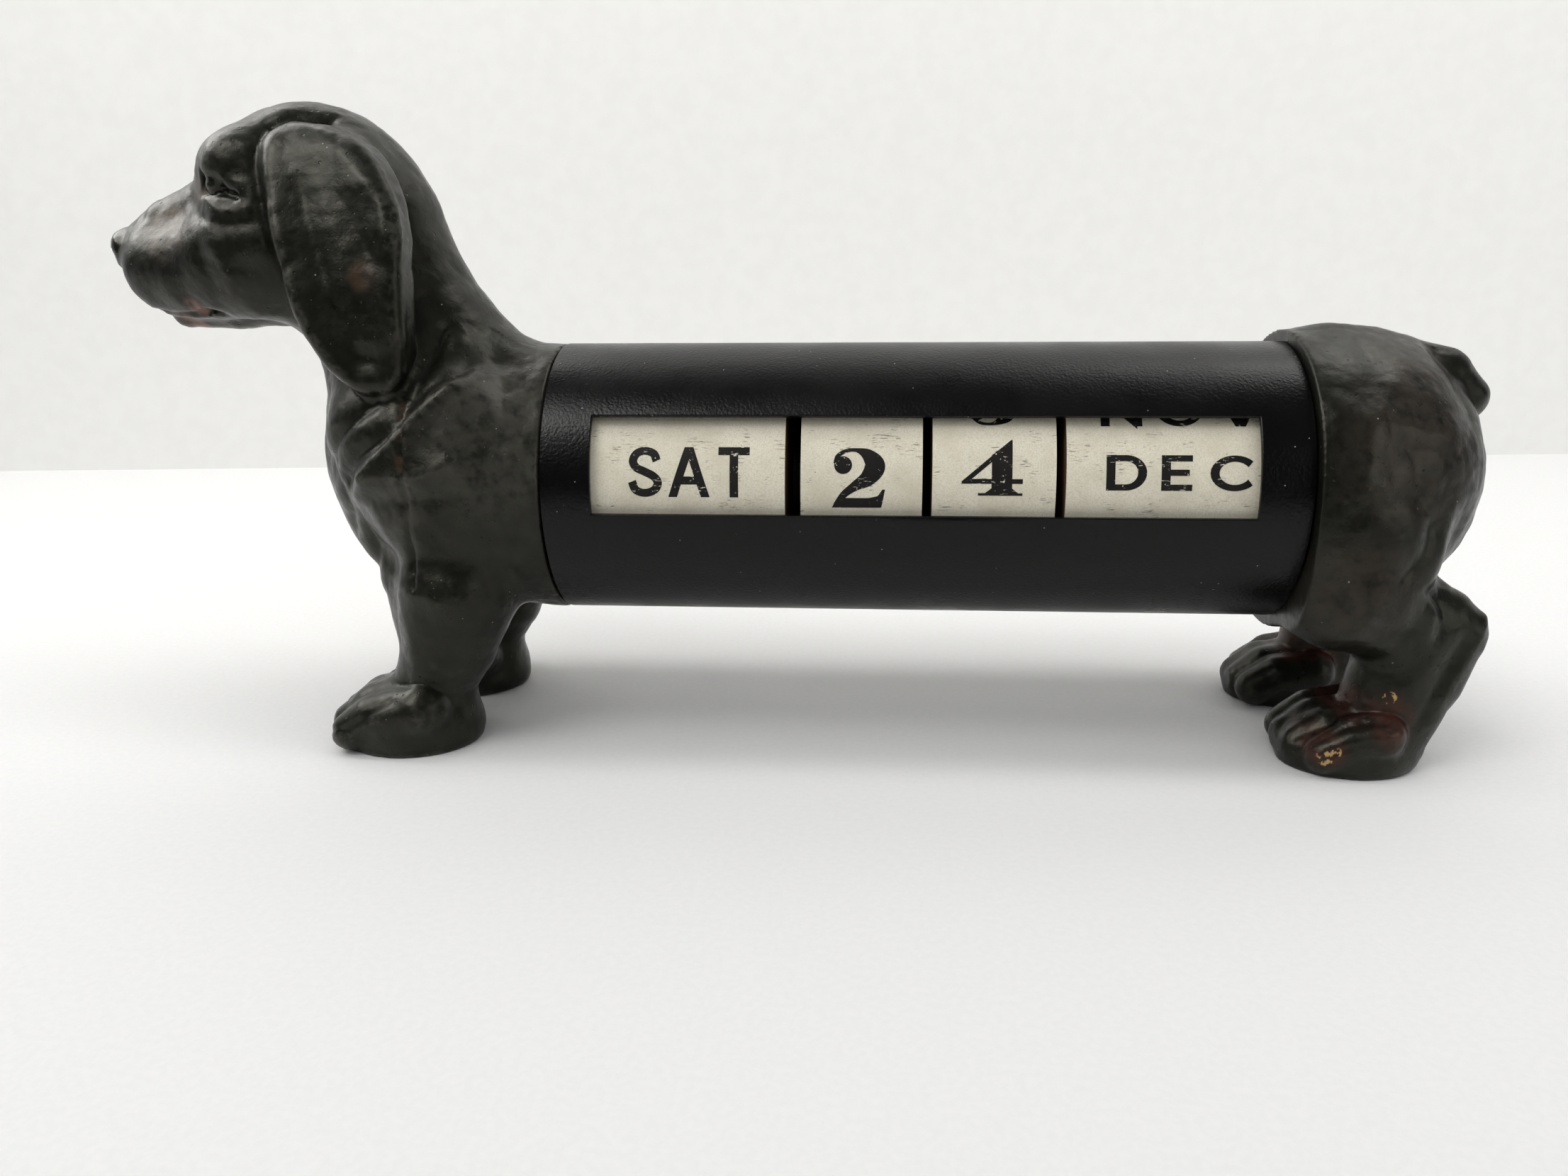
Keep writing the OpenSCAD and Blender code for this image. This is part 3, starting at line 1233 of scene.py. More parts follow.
@dataclass
class FrontCasting(Casting):
    """Head, ears, neck, chest and forelegs."""

    NODE = "front_casting"
    SLOT = "casting_front"
    OUTWARD = -1.0

    def body(self, shape: Sculpture) -> None:
        """Blends the barrel, chest, shoulders and neck.

        Args:
            shape: The sculpture that it joins.
        """
        h, r = self.layout.axle_h, self.layout.tube_r
        shape.add(Limb([(-8, 0, h, r - 0.1), (5, 0, h, r - 0.2), (26, 0, 57.6, 25.2)]), 2)
        shape.add(Egg((25, 0, 60), (24.4, 26.2, 24)), 4)
        shape.add(Limb([(39, 0, 66, 9.5), (41.5, 0, 55, 9.0), (41.5, 0, 44, 7.5)]), 7)
        shape.add(Limb([(35.6, 0, 92.5, 12.0), (21.8, 0, 70.5, 14.4), (4, 0, 54, 25.0)]), 5.0)
        shape.add(Limb([(42, 0, 100, 17.5), (36.4, 0, 86, 17.0), (29, 0, 72, 19.0)]), 7)
        shape.add(Egg((20, 20, 57), (15.5, 9.0, 20), 8), 6)
        shape.add(Egg((35, 15, 66), (11, 9, 9), -40), 5)

    def head(self, shape: Sculpture) -> None:
        """Blends the skull, muzzle, jaw and nose.

        Args:
            shape: The sculpture that it joins.
        """
        shape.add(Egg((50.6, 0, 107), (23.0, 19.6, 21.8)), 6)
        shape.add(Limb([(73, 0, 106.6, 7.8), (81, 0, 104.3, 6.9), (89.6, 0, 100.6, 5.0)]), 5)
        shape.add(Egg((79.6, 4.4, 96.2), (11.3, 6.6, 8.8), 14), 3)
        shape.add(Egg((70, 7.0, 96.6), (12.0, 7.4, 9.8), 6), 4)
        shape.add(Egg((58.5, 10.5, 99.5), (14, 8.6, 11.5)), 5)
        shape.add(Limb([(80.6, 0, 88.6, 3.9), (70, 0, 90.6, 5.9), (56, 0, 93.8, 8.5)]), 1.4)
        shape.add(Egg((91.4, 0, 100.9), (3.8, 4.7, 4.2), -15), 0.7)
        shape.add(Limb([(64.4, 5.5, 115.8, 6.4), (60, 12.0, 117.0, 6.0)]), 4)
        shape.cut(Egg((93.7, 2.6, 99.7), (1.6, 1.0, 1.1)), 0.5)
        shape.cut(Egg((95.0, 0, 97.4), (2.2, 0.45, 2.6)), 0.5)
        shape.cut(Egg((63.4, 18.0, 112.3), (3.8, 3.4, 2.7), -14), 0.8)
        shape.cut(Limb([(65.2, 14.2, 115.2, 1.0), (65.9, 14.8, 111.4, 1.2)]), 0.4)
        shape.cut(Limb([(65.9, 14.8, 110.9, 1.0), (61.2, 17.2, 111.3, 0.9), (56.8, 18.0, 110.2, 0.6)]), 0.4)
        shape.add(Egg((62.8, 14.0, 112.5), (2.7, 3.2, 2.2)), 0.25)
        shape.add(Limb([(67.6, 13.2, 109.4, 0.8), (61.6, 16.7, 109.8, 0.9), (56.4, 17.4, 108.9, 0.8)]), 0.6)
        shape.add(Limb([(65.8, 12.8, 116.9, 1.2), (62.6, 15.6, 115.3, 1.6), (57.0, 17.6, 112.2, 1.4)]), 1.2)
        mouth = [(89.5, 0, 90.4, 0.8), (86.6, 4.6, 88.8, 0.9), (80, 7.6, 87.6, 1.0), (73, 9.6, 88.0, 1.0)]
        shape.cut(Limb(mouth + [(69.8, 11.0, 89.4, 1.0), (66, 12.0, 87.2, 0.8)]), 0.5)

    def ear(self, shape: Sculpture) -> None:
        """Blends the hanging ear.

        Args:
            shape: The sculpture that it joins.
        """
        outline = spline(
            [(45, 124), (37, 121.6), (31, 117.4), (26.6, 111), (25, 104), (24.8, 94), (25, 84), (26, 76),
             (29, 72.4), (33, 72.4), (38.5, 76), (43, 82), (46.5, 90), (48.6, 98.5), (50.6, 107), (52, 116),
             (51.6, 122)], 4, closed=True,
        )
        rise = [(124, 14.2), (119, 17.6), (112, 21.2), (104, 23.4),
                (94, 25.2), (84, 26.4), (76, 26.2), (71, 25.2)]
        shape.add(Flap(outline, rise, 9.0, 2.4), 1.2, NEAR)
        slimmer, closer = outline * (0.7, 1) + (17, 0), [(up, side - 3) for up, side in rise]
        shape.add(Flap(slimmer, closer, 8.0, 2.4), 1.2, FAR)

    def leg(self, shape: Sculpture) -> None:
        """Blends the foreleg and its paw.

        Args:
            shape: The sculpture that it joins.
        """
        bone = [(21.4, 17.2, 33, 12.4), (24.2, 17.4, 21.5, 9.9), (27.4, 17.2, 14.5, 8.5),
                (29.4, 17.2, 8, 8.5)]
        shape.add(Limb(bone), 4)
        shape.add(Egg((33.4, 17.2, 3.4), (14.8, 12.9, 10.6)), 3)
        shape.add(Limb([(39.5, 7, 46, 6.0), (34.5, 12, 37, 5.8), (30, 15, 27, 6.0)]), 4)
        for side in (8.4, 14.2, 20.2, 25.6):
            reach = 0.0 if 10 < side < 22 else -1.8
            toe = [(30, side, 9.2, 5.6), (40.5, side, 7.6, 4.7), (45.6, side, 4.4, 4.1)]
            shape.add(Limb([(out + reach, *rest) for out, *rest in toe]), 1.0)

    def sculpt(self) -> Sculpture:
        """Blends the solids of the front casting.

        Returns:
            The sculpture.
        """
        high = (self.layout.front_len + 2, 34, self.layout.head_top + 3)
        shape = Sculpture((-4.0, 0, -1.6), high, self.STEP)
        self.body(shape)
        self.head(shape)
        self.ear(shape)
        self.leg(shape)
        self.close_up(shape)
        return shape

    def creases(self) -> Sequence[Crease]:
        """Gives the folds of the ear, brow, chest and leg.

        Returns:
            The folds.
        """
        return (
            Crease([(44, 112), (42.2, 104), (39, 93), (34, 81)], -1.1, 3.4, 15),
            Crease([(49, 108), (47, 98), (43.6, 88), (38, 79)], 0.45, 2.2, 15),
            Crease([(33, 94), (31.5, 88), (31.5, 80)], -0.6, 2.2, 20),
            Crease([(37, 118), (29, 110), (26.4, 102)], 0.9, 3.0, 15),
            Crease([(37, 111), (31, 100)], -0.7, 3.0, 15),
            Crease([(53.4, 121.5), (53.6, 116), (52.2, 107), (50.2, 98.5), (48.2, 90)], -0.8, 1.0, 12),
            Crease([(52.4, 123.4), (48, 125.2), (42, 124.6)], -1.3, 0.8, 6),
            Crease([(65.4, 110.3), (61, 107.8), (56.2, 108.0)], 0.5, 1.0, 8),
            Crease([(66, 106.6), (61, 105.0), (55, 105.6)], -0.45, 1.4, 6),
            Crease([(54, 88.5), (58.8, 88), (64, 87)], 0.5, 1.6, 6),
            Crease([(68, 107), (67.4, 101), (65.5, 94)], -0.4, 2.0, 6),
            Crease([(63.8, 106), (63.2, 101), (61, 96)], 0.45, 1.8, 8),
            Crease([(16, 78), (22.5, 74), (29, 66), (36, 61.6), (41, 56)], -1.3, 1.8, 8),
            Crease([(17, 75), (24, 69.5), (30, 63.4), (35, 58)], 1.3, 2.0, 8),
            Crease([(31.5, 72.6), (37, 68.4), (42, 64.2), (44.5, 60)], -1.3, 1.6, 6),
            Crease([(21, 85), (23, 78), (25.6, 73)], -1.2, 1.8, 12),
            Crease([(38, 54), (35, 57), (30, 58), (24, 58.4), (17, 61)], 0.9, 2.2, 6),
            Crease([(38, 50), (34, 52.8), (28, 53.6), (21, 54.6)], -0.8, 2.4, 6),
            Crease([(47, 60), (43, 52), (44, 45)], -0.9, 1.7, 4),
            Crease([(41, 49), (38, 42), (40, 36)], -0.8, 1.7, 4),
            Crease([(12, 72), (6, 66), (3, 58)], 0.7, 3.0, 8),
            Crease([(28, 48), (20, 43), (14, 44)], 0.5, 3.0, 10),
            Crease([(26.5, 73), (26.2, 60), (26.5, 47), (27.0, 36)], -0.7, 0.5, 14),
            Crease([(14, 84), (9, 76), (7, 70)], -0.5, 2.2, 6),
            Crease([(31, 33), (28.5, 24), (29, 16)], 0.4, 2.2, 12),
            Crease([(48, 5), (43, 6.5), (38, 9.5), (33, 12.4)], -0.5, 0.9, 16.3),
        )

    def marks(self) -> Sequence[Mark]:
        """Gives the antiquing on the muzzle, ear, mouth and mould line, and the painted sheen on the shoulder
        and chest.

        Returns:
            The patches.
        """
        crack = [Mark("brown", (26.4, up), 1.3, 20) for up in (71, 69.5, 66, 61.5, 60.2)]
        return (
            *crack,
            Mark("brown", (77.5, 105), 7.5, 2),
            Mark("brown", (70, 112), 3.2, 4),
            Mark("brown", (67.6, 110.8), 2.6, 6),
            Mark("brown", (32, 95.5), 3.8, 20),
            Mark("flesh", (73, 89.5), 2.6, 6),
            # Painted sheen: pale patches where the shoulder and the chest fold catch the light.
            Mark("rubbed_and_sheen", (9, 65), 20, 12),
            Mark("rubbed_and_sheen", (27, 54), 8, 10),
            Mark("flesh", (78.5, 85.6), 3.6),
            Mark("gloss", (63, 112.4), 2.6, 10),
            Mark("gloss", (94, 102.4), 4.5),
        )


@dataclass
class RearCasting(Casting):
    """Rump, tail stub and hind legs, standing a little proud of the tube."""

    NODE = "rear_casting"
    SLOT = "casting_rear"
    STEP = 0.56

    def body(self, shape: Sculpture) -> None:
        """Blends the rump, buttock, tail and thigh.

        Args:
            shape: The sculpture that it joins.
        """
        h, r = self.layout.axle_h, self.layout.rim_r
        shape.add(Limb([(-6, 0, h, r - 0.2), (5, 0, h, r - 0.2), (12, 0, 55.4, 27.6)]), 1.5)
        shape.add(Limb([(9.8, 5.5, 53, 21.4), (12.4, 7, 48.6, 18.4)]), 4)
        shape.add(Limb([(10, 0, 76.2, 7.4), (22, 0, 75.4, 6.6), (27, 0, 74.0, 5.6)]), 5)
        tail = [(23, 0, 76.0, 5.8), (31.2, 0, 74.2, 5.9), (36.0, 0, 70.4, 4.8), (34.8, 0, 66.4, 3.4)]
        shape.add(Limb(tail), 1.4)
        shape.add(Egg((10.5, 19.5, 41.5), (15.5, 11.3, 17), -14), 5)

    def leg(self, shape: Sculpture) -> None:
        """Blends the shank, hock and paw.

        Args:
            shape: The sculpture that it joins.
        """
        shape.add(Limb([(12, 19.5, 35, 11.6), (20, 19.2, 31, 9.0), (28, 18.6, 29, 6.8)]), 3)
        pastern = [(32.0, 18.4, 27.2, 5.8), (28.0, 18.4, 17, 6.6), (23.0, 18.4, 8, 7.2), (21, 18.4, 4.5, 7.2)]
        shape.add(Limb(pastern), 2)
        shape.add(Limb([(23, 18.4, 24, 8.0), (20.5, 18.4, 14, 7.8)]), 3)
        shape.add(Limb([(23.5, 18.6, 35.5, 4.0), (29.6, 18.6, 31.4, 4.8), (33.4, 18.6, 26.0, 4.2)]), 1.2)
        shape.add(Egg((14.5, 18.6, 3.3), (13.6, 11.0, 9.1), 3), 2.4)
        for side, reach in ((10.6, 1.0), (16.0, 0.0), (21.3, 0.6), (26.0, 3.6)):
            toe = [(18, side, 8.4, 4.6), (9 + reach, side, 7.4, 4.4), (4.2 + reach, side, 4.2, 3.9)]
            shape.add(Limb(toe), 0.7)

    def sculpt(self) -> Sculpture:
        """Blends the solids of the rear casting.

        Returns:
            The sculpture.
        """
        shape = Sculpture((-4.0, 0, -1.4), (self.layout.rear_len + 4, 35, 91), self.STEP)
        self.body(shape)
        self.leg(shape)
        self.close_up(shape)
        return shape

    def creases(self) -> Sequence[Crease]:
        """Gives the folds of the haunch, thigh and hock.

        Returns:
            The folds.
        """
        return (
            Crease([(26.5, 53), (25, 48), (23.7, 44), (22.3, 40)], 0.5, 2.2, 8),
            Crease([(30, 50), (28.5, 45), (26.5, 40)], -0.6, 2.2, 6),
            Crease([(21.5, 50), (20, 45), (17, 41)], -0.7, 2.2, 8),
            Crease([(2.5, 40), (9, 33), (16, 30.5), (22, 30)], -0.5, 2.0, 12),
            Crease([(27.5, 79), (29.5, 74.4), (31.5, 68)], -0.6, 1.5, 3),
            Crease([(14, 74), (9, 66), (8, 57)], 0.6, 3.2, 8),
            Crease([(20, 70), (18, 61), (19, 54)], -0.5, 3.0, 8),
            Crease([(36, 31), (33, 24), (29, 16)], 0.6, 1.4, 12),
            Crease([(31, 27), (27.6, 19), (25, 12)], -0.6, 1.6, 14),
            Crease([(13, 48.6), (17, 49.6)], -0.12, 0.5, 16),
            Crease([(1.5, 5.6), (6, 8.8), (12, 11.4), (18, 12.0)], -0.6, 1.1, 14),
            Crease([(5, 3.5), (8.5, 6.0), (14, 8.0), (20, 8.0)], -0.4, 1.0, 22),
            Crease([(24, 37), (27, 33), (26, 28)], -0.9, 1.4, 14),
            Crease([(4, 70), (14, 68), (24, 66)], 0.5, 3.0, 8),
        )

    def marks(self) -> Sequence[Mark]:
        """Gives the antiquing on the rump, ankle and toes; the rump's brown also stands in for painted sheen.

        Returns:
            The patches.
        """
        return (
            # Brown antiquing on the rump, set light enough to also stand in for painted sheen where the rump
            # catches the light.
            Mark("brown", (17, 64), 18.0, 4),
            Mark("brown", (9, 38), 14.0, 10),
            Mark("brown", (20, 79), 12.0),
            Mark("red", (19, 12), 6.5, 8),
            Mark("red", (7, 6), 5.0, 18),
            Mark("red", (12, 14), 4.5, 8),
            Mark("chip", (18.7, 16), 1.9, 20),
            Mark("chip", (6.8, 4.7), 2.2, 20),
            Mark("chip", (8.6, 6.2), 1.4, 20),
        )


# ---------------------------------------------------------------------------------------------
# Tube
# ---------------------------------------------------------------------------------------------


@dataclass
class BodyTube:
    """Steel tube with the window that shows the drums.

    Args:
        layout: Shared places.
        finish: Its powder coat.
        window: Stretch of the window along X.
        low_deg: Angle of the window's lower edge above the horizontal.
        high_deg: Angle of the window's upper edge above the horizontal.
        wall: Sheet thickness.
    """

    layout: Layout
    finish: PowderCoat
    window: Span
    low_deg: float = -5.0
    high_deg: float = 35.0
    wall: float = 1.0

    # Faces along each closed end, along the window, across the window and around the rest.
    END_FACES, WINDOW_FACES, ACROSS_FACES, REST_FACES = 7, 59, 32, 256
    SHARP_DEG, BEVEL_DEG = 40, 50
    BROKEN_EDGE = 0.16

    def stations(self) -> tuple[Array, Array]:
        """Gives the sheet's grid lines along X and around the axis, in degrees.

        Returns:
            Grid lines along X in millimetres, and around in degrees.
        """
        t, w = self.layout.tube, self.window
        along = np.concatenate([
            np.linspace(t.low, w.low, self.END_FACES + 1)[:-1],
            np.linspace(w.low, w.high, self.WINDOW_FACES + 1)[:-1],
            np.linspace(w.high, t.high, self.END_FACES + 1),
        ])
        rest = 360 - (self.high_deg - self.low_deg)
        around = np.concatenate([
            np.linspace(self.low_deg, self.high_deg, self.ACROSS_FACES + 1)[:-1],
            self.high_deg + np.linspace(0, rest, self.REST_FACES + 1)[:-1],
        ])
        return along, around

    def build(self) -> bpy.types.Object:
        """Makes the tube: an outer and an inner skin, joined by walls along every open edge.

        Returns:
            The finished piece.
        """
        along, around = self.stations()
        x, a = np.meshgrid(along, np.radians(around), indexing="ij")
        lip = self.dents(x, a)
        skins = []
        for radius in (self.layout.tube_r, self.layout.tube_r - self.wall):
            r = radius + lip
            skin = np.stack([x, -r * np.cos(a), self.layout.axle_h + r * np.sin(a)], axis=-1)
            skins.append(skin.reshape(-1, 3))
        rows, columns = len(along), len(around)
        quads = grid_faces(rows, columns, wrap_columns=True)
        row, column = np.divmod(np.arange(len(quads)), columns)
        middle = (along[row] + along[row + 1]) / 2
        hole = (middle > self.window.low) & (middle < self.window.high) & (column < self.ACROSS_FACES)
        outer = quads[~hole]
        count = rows * columns
        walls = self.walls(outer, count)
        faces = np.concatenate([outer, outer[:, ::-1] + count, walls])
        used = np.unique(faces)
        number = np.full(2 * count, -1)
        number[used] = np.arange(len(used))
        tube = make_piece(
            "body_tube_sheet", np.vstack(skins)[used], number[faces], ROOT_BODY, self.SHARP_DEG
        )
        bevel = tube.modifiers.new("broken edges", "BEVEL")
        bevel.width = self.BROKEN_EDGE * METRES
        bevel.segments = 2
        bevel.angle_limit = math.radians(self.BEVEL_DEG)
        tube.data.materials.append(self.finish.material())
        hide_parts("body_tube")
        LOG.info("%s: %d faces", tube.name, len(faces))
        return tube

    def dents(self, x: Array, a: Array) -> Array:
        """Gives how far the sheet leans from a true tube: it springs a little at the window's long edges.

        Formula: a slow wave along X, fading away from the two edges.

        Args:
            x: Places along X.
            a: Angles above the horizontal.

        Returns:
            One distance outwards for each place.
        """
        phase = (x - self.window.low) / self.window.width
        inside = np.clip(np.sin(math.pi * np.clip(phase, 0, 1)), 0, 1)
        wave = 0.10 * np.sin(2 * math.pi * 1.3 * phase + 0.6) + 0.05 * np.sin(2 * math.pi * 3.1 * phase)
        degrees = np.degrees(a)
        fade = np.exp(-((degrees - self.high_deg) / 7) ** 2) + np.exp(-((degrees - self.low_deg) / 6) ** 2)
        return wave * fade * inside

    def walls(self, outer: Array, count: int) -> Array:
        """Gives the quads that join the two skins along every edge that has a face on one side only.

        Args:
            outer: Quads of the outer skin.
            count: Number of corners of one skin.

        Returns:
            Quads, one row each.
        """
        edges = np.concatenate([outer[:, [k, (k + 1) % 4]] for k in range(4)])
        key = edges.min(1).astype(np.int64) * count + edges.max(1)
        _, first, times = np.unique(key, return_index=True, return_counts=True)
        open_edges = edges[first[times == 1]]
        start, end = open_edges.T
        return np.stack([end, start, start + count, end + count], axis=1)


# ---------------------------------------------------------------------------------------------
# Lettering
# ---------------------------------------------------------------------------------------------


@dataclass(frozen=True)
class Face:
    """Weights of a lettering style, in shares of its height.

    Args:
        stem: Weight of upright strokes.
        bar: Weight of level strokes.
        wide: Width of letters compared with the skeletons.
        gap: Space between letters.
    """

    stem: float
    bar: float
    wide: float
    gap: float


Strip = tuple[Array, Array]


def resample(edge: Array, count: int) -> Array:
    """Spreads points evenly along a line.

    Args:
        edge: Points of the line.
        count: Number of points wanted.

    Returns:
        The spread points, one row each.
    """
    steps = np.concatenate([[0], np.cumsum(np.linalg.norm(np.diff(edge, axis=0), axis=1))])
    at = np.linspace(0, steps[-1], count)
    return np.stack([np.interp(at, steps, edge[:, k]) for k in range(edge.shape[1])], axis=1)


def brush(path: Sequence[Point], closed: bool = False) -> Strip:
    """Draws a swelling stroke.

    Args:
        path: (x, y, thickness) points that it passes through.
        closed: Joins the end to the start.

    Returns:
        Its two edges.
    """
    line = spline(path, 14, closed)
    if closed:
        line = np.vstack([line, line[:1]])
    run = np.gradient(line[:, :2], axis=0)
    if closed:
        run[0] = run[-1] = line[1, :2] - line[-2, :2]
    run /= np.linalg.norm(run, axis=1, keepdims=True)
    off = np.stack([-run[:, 1], run[:, 0]], axis=1) * np.maximum(line[:, 2:], 0.01) / 2
    return line[:, :2] + off, line[:, :2] - off


def slab(edge_a: Sequence[tuple[float, float]], edge_b: Sequence[tuple[float, float]]) -> Strip:
    """Fills between two edges."""
    return np.asarray(edge_a, float), np.asarray(edge_b, float)


def dot(x: float, y: float, radius: float) -> Strip:
    """Fills a round blob, swept from left to right.

    Args:
        x: Middle across.
        y: Middle upwards.
        radius: Its radius.

    Returns:
        Its upper and lower edges.
    """
    t = np.linspace(math.pi, 0, 17)
    upper = np.stack([x + radius * np.cos(t), y + radius * np.sin(t)], axis=1)
    return upper, upper * (1, -1) + (0, 2 * y)


def arc(x: float, y: float, rx: float, ry: float, start: float, end: float) -> Array:
    """Gives points on an ellipse from one angle to another, in degrees."""
    t = np.radians(np.linspace(start, end, 25))
    return np.stack([x + rx * np.cos(t), y + ry * np.sin(t)], axis=1)


LETTERS: dict[str, tuple[float, tuple]] = {
    "A": (0.82, (((0, 0), (0.5, 1)), ((1, 0), (0.5, 1)), ((0.2, 0.30), (0.8, 0.30)))),
    "B": (0.66, (((0, 0), (0, 1)), ("D", 0.0, 0.54, 1.0, 0.9), ("D", 0.0, 0.0, 0.54, 1.0))),
    "C": (0.86, (("O", 0.5, 0.5, 0.5, 0.5, 38, 322),)),
    "D": (0.72, (((0, 0), (0, 1)), ("D", 0.0, 0.0, 1.0, 1.0))),
    "E": (0.60, (((0, 0), (0, 1)), ((0, 1), (1.06, 1)), ((0, 0.51), (0.94, 0.51)), ((0, 0), (1.06, 0)))),
    "F": (0.58, (((0, 0), (0, 1)), ((0, 1), (1.06, 1)), ((0, 0.5), (0.9, 0.5)))),
    "G": (0.78, (("O", 0.5, 0.5, 0.5, 0.5, 42, 330), ((0.98, 0.06), (0.98, 0.44)),
                 ((0.6, 0.44), (1.06, 0.44)))),
    "H": (0.72, (((0, 0), (0, 1)), ((1, 0), (1, 1)), ((0, 0.5), (1, 0.5)))),
    "I": (0.15, (((0.5, 0), (0.5, 1)),)),
    "J": (0.50, (((1, 0.3), (1, 1)), ("O", 0.5, 0.3, 0.5, 0.3, 0, -165))),
    "L": (0.55, (((0, 0), (0, 1)), ((0, 0), (1.06, 0)))),
    "M": (0.86, (((0, 0), (0, 1)), ((1, 0), (1, 1)), ((0.02, 1), (0.5, 0.12)), ((0.98, 1), (0.5, 0.12)))),
    "N": (0.74, (((0, 0), (0, 1)), ((1, 0), (1, 1)), ((0.02, 1), (0.98, 0)))),
    "O": (0.82, (("O", 0.5, 0.5, 0.5, 0.5, 0, 360),)),
    "P": (0.64, (((0, 0), (0, 1)), ("D", 0.0, 0.46, 1.0, 1.0))),
    "R": (0.68, (((0, 0), (0, 1)), ("D", 0.0, 0.48, 1.0, 0.95), ((0.5, 0.48), (1, 0)))),
    "S": (0.69, (("S",),)),
    "T": (0.72, (((0.5, 0), (0.5, 1)), ((-0.06, 1), (1.06, 1)))),
    "U": (0.72, (((0, 0.36), (0, 1)), ((1, 0.36), (1, 1)), ("O", 0.5, 0.36, 0.5, 0.36, 180, 360))),
    "V": (0.80, (((0, 1), (0.5, 0)), ((1, 1), (0.5, 0)))),
    "W": (1.12, (((0, 1), (0.26, 0)), ((0.5, 1), (0.26, 0)), ((0.5, 1), (0.74, 0)), ((1, 1), (0.74, 0)))),
    "Y": (0.78, (((0, 1), (0.5, 0.45)), ((1, 1), (0.5, 0.45)), ((0.5, 0), (0.5, 0.47)))),
}
S_SPINE = ((0.96, 0.76), (0.84, 0.93), (0.52, 1.0), (0.2, 0.94), (0.05, 0.76), (0.18, 0.6), (0.5, 0.505),
           (0.85, 0.39), (1.0, 0.24), (0.86, 0.07), (0.5, 0.0), (0.15, 0.07), (0.01, 0.27))

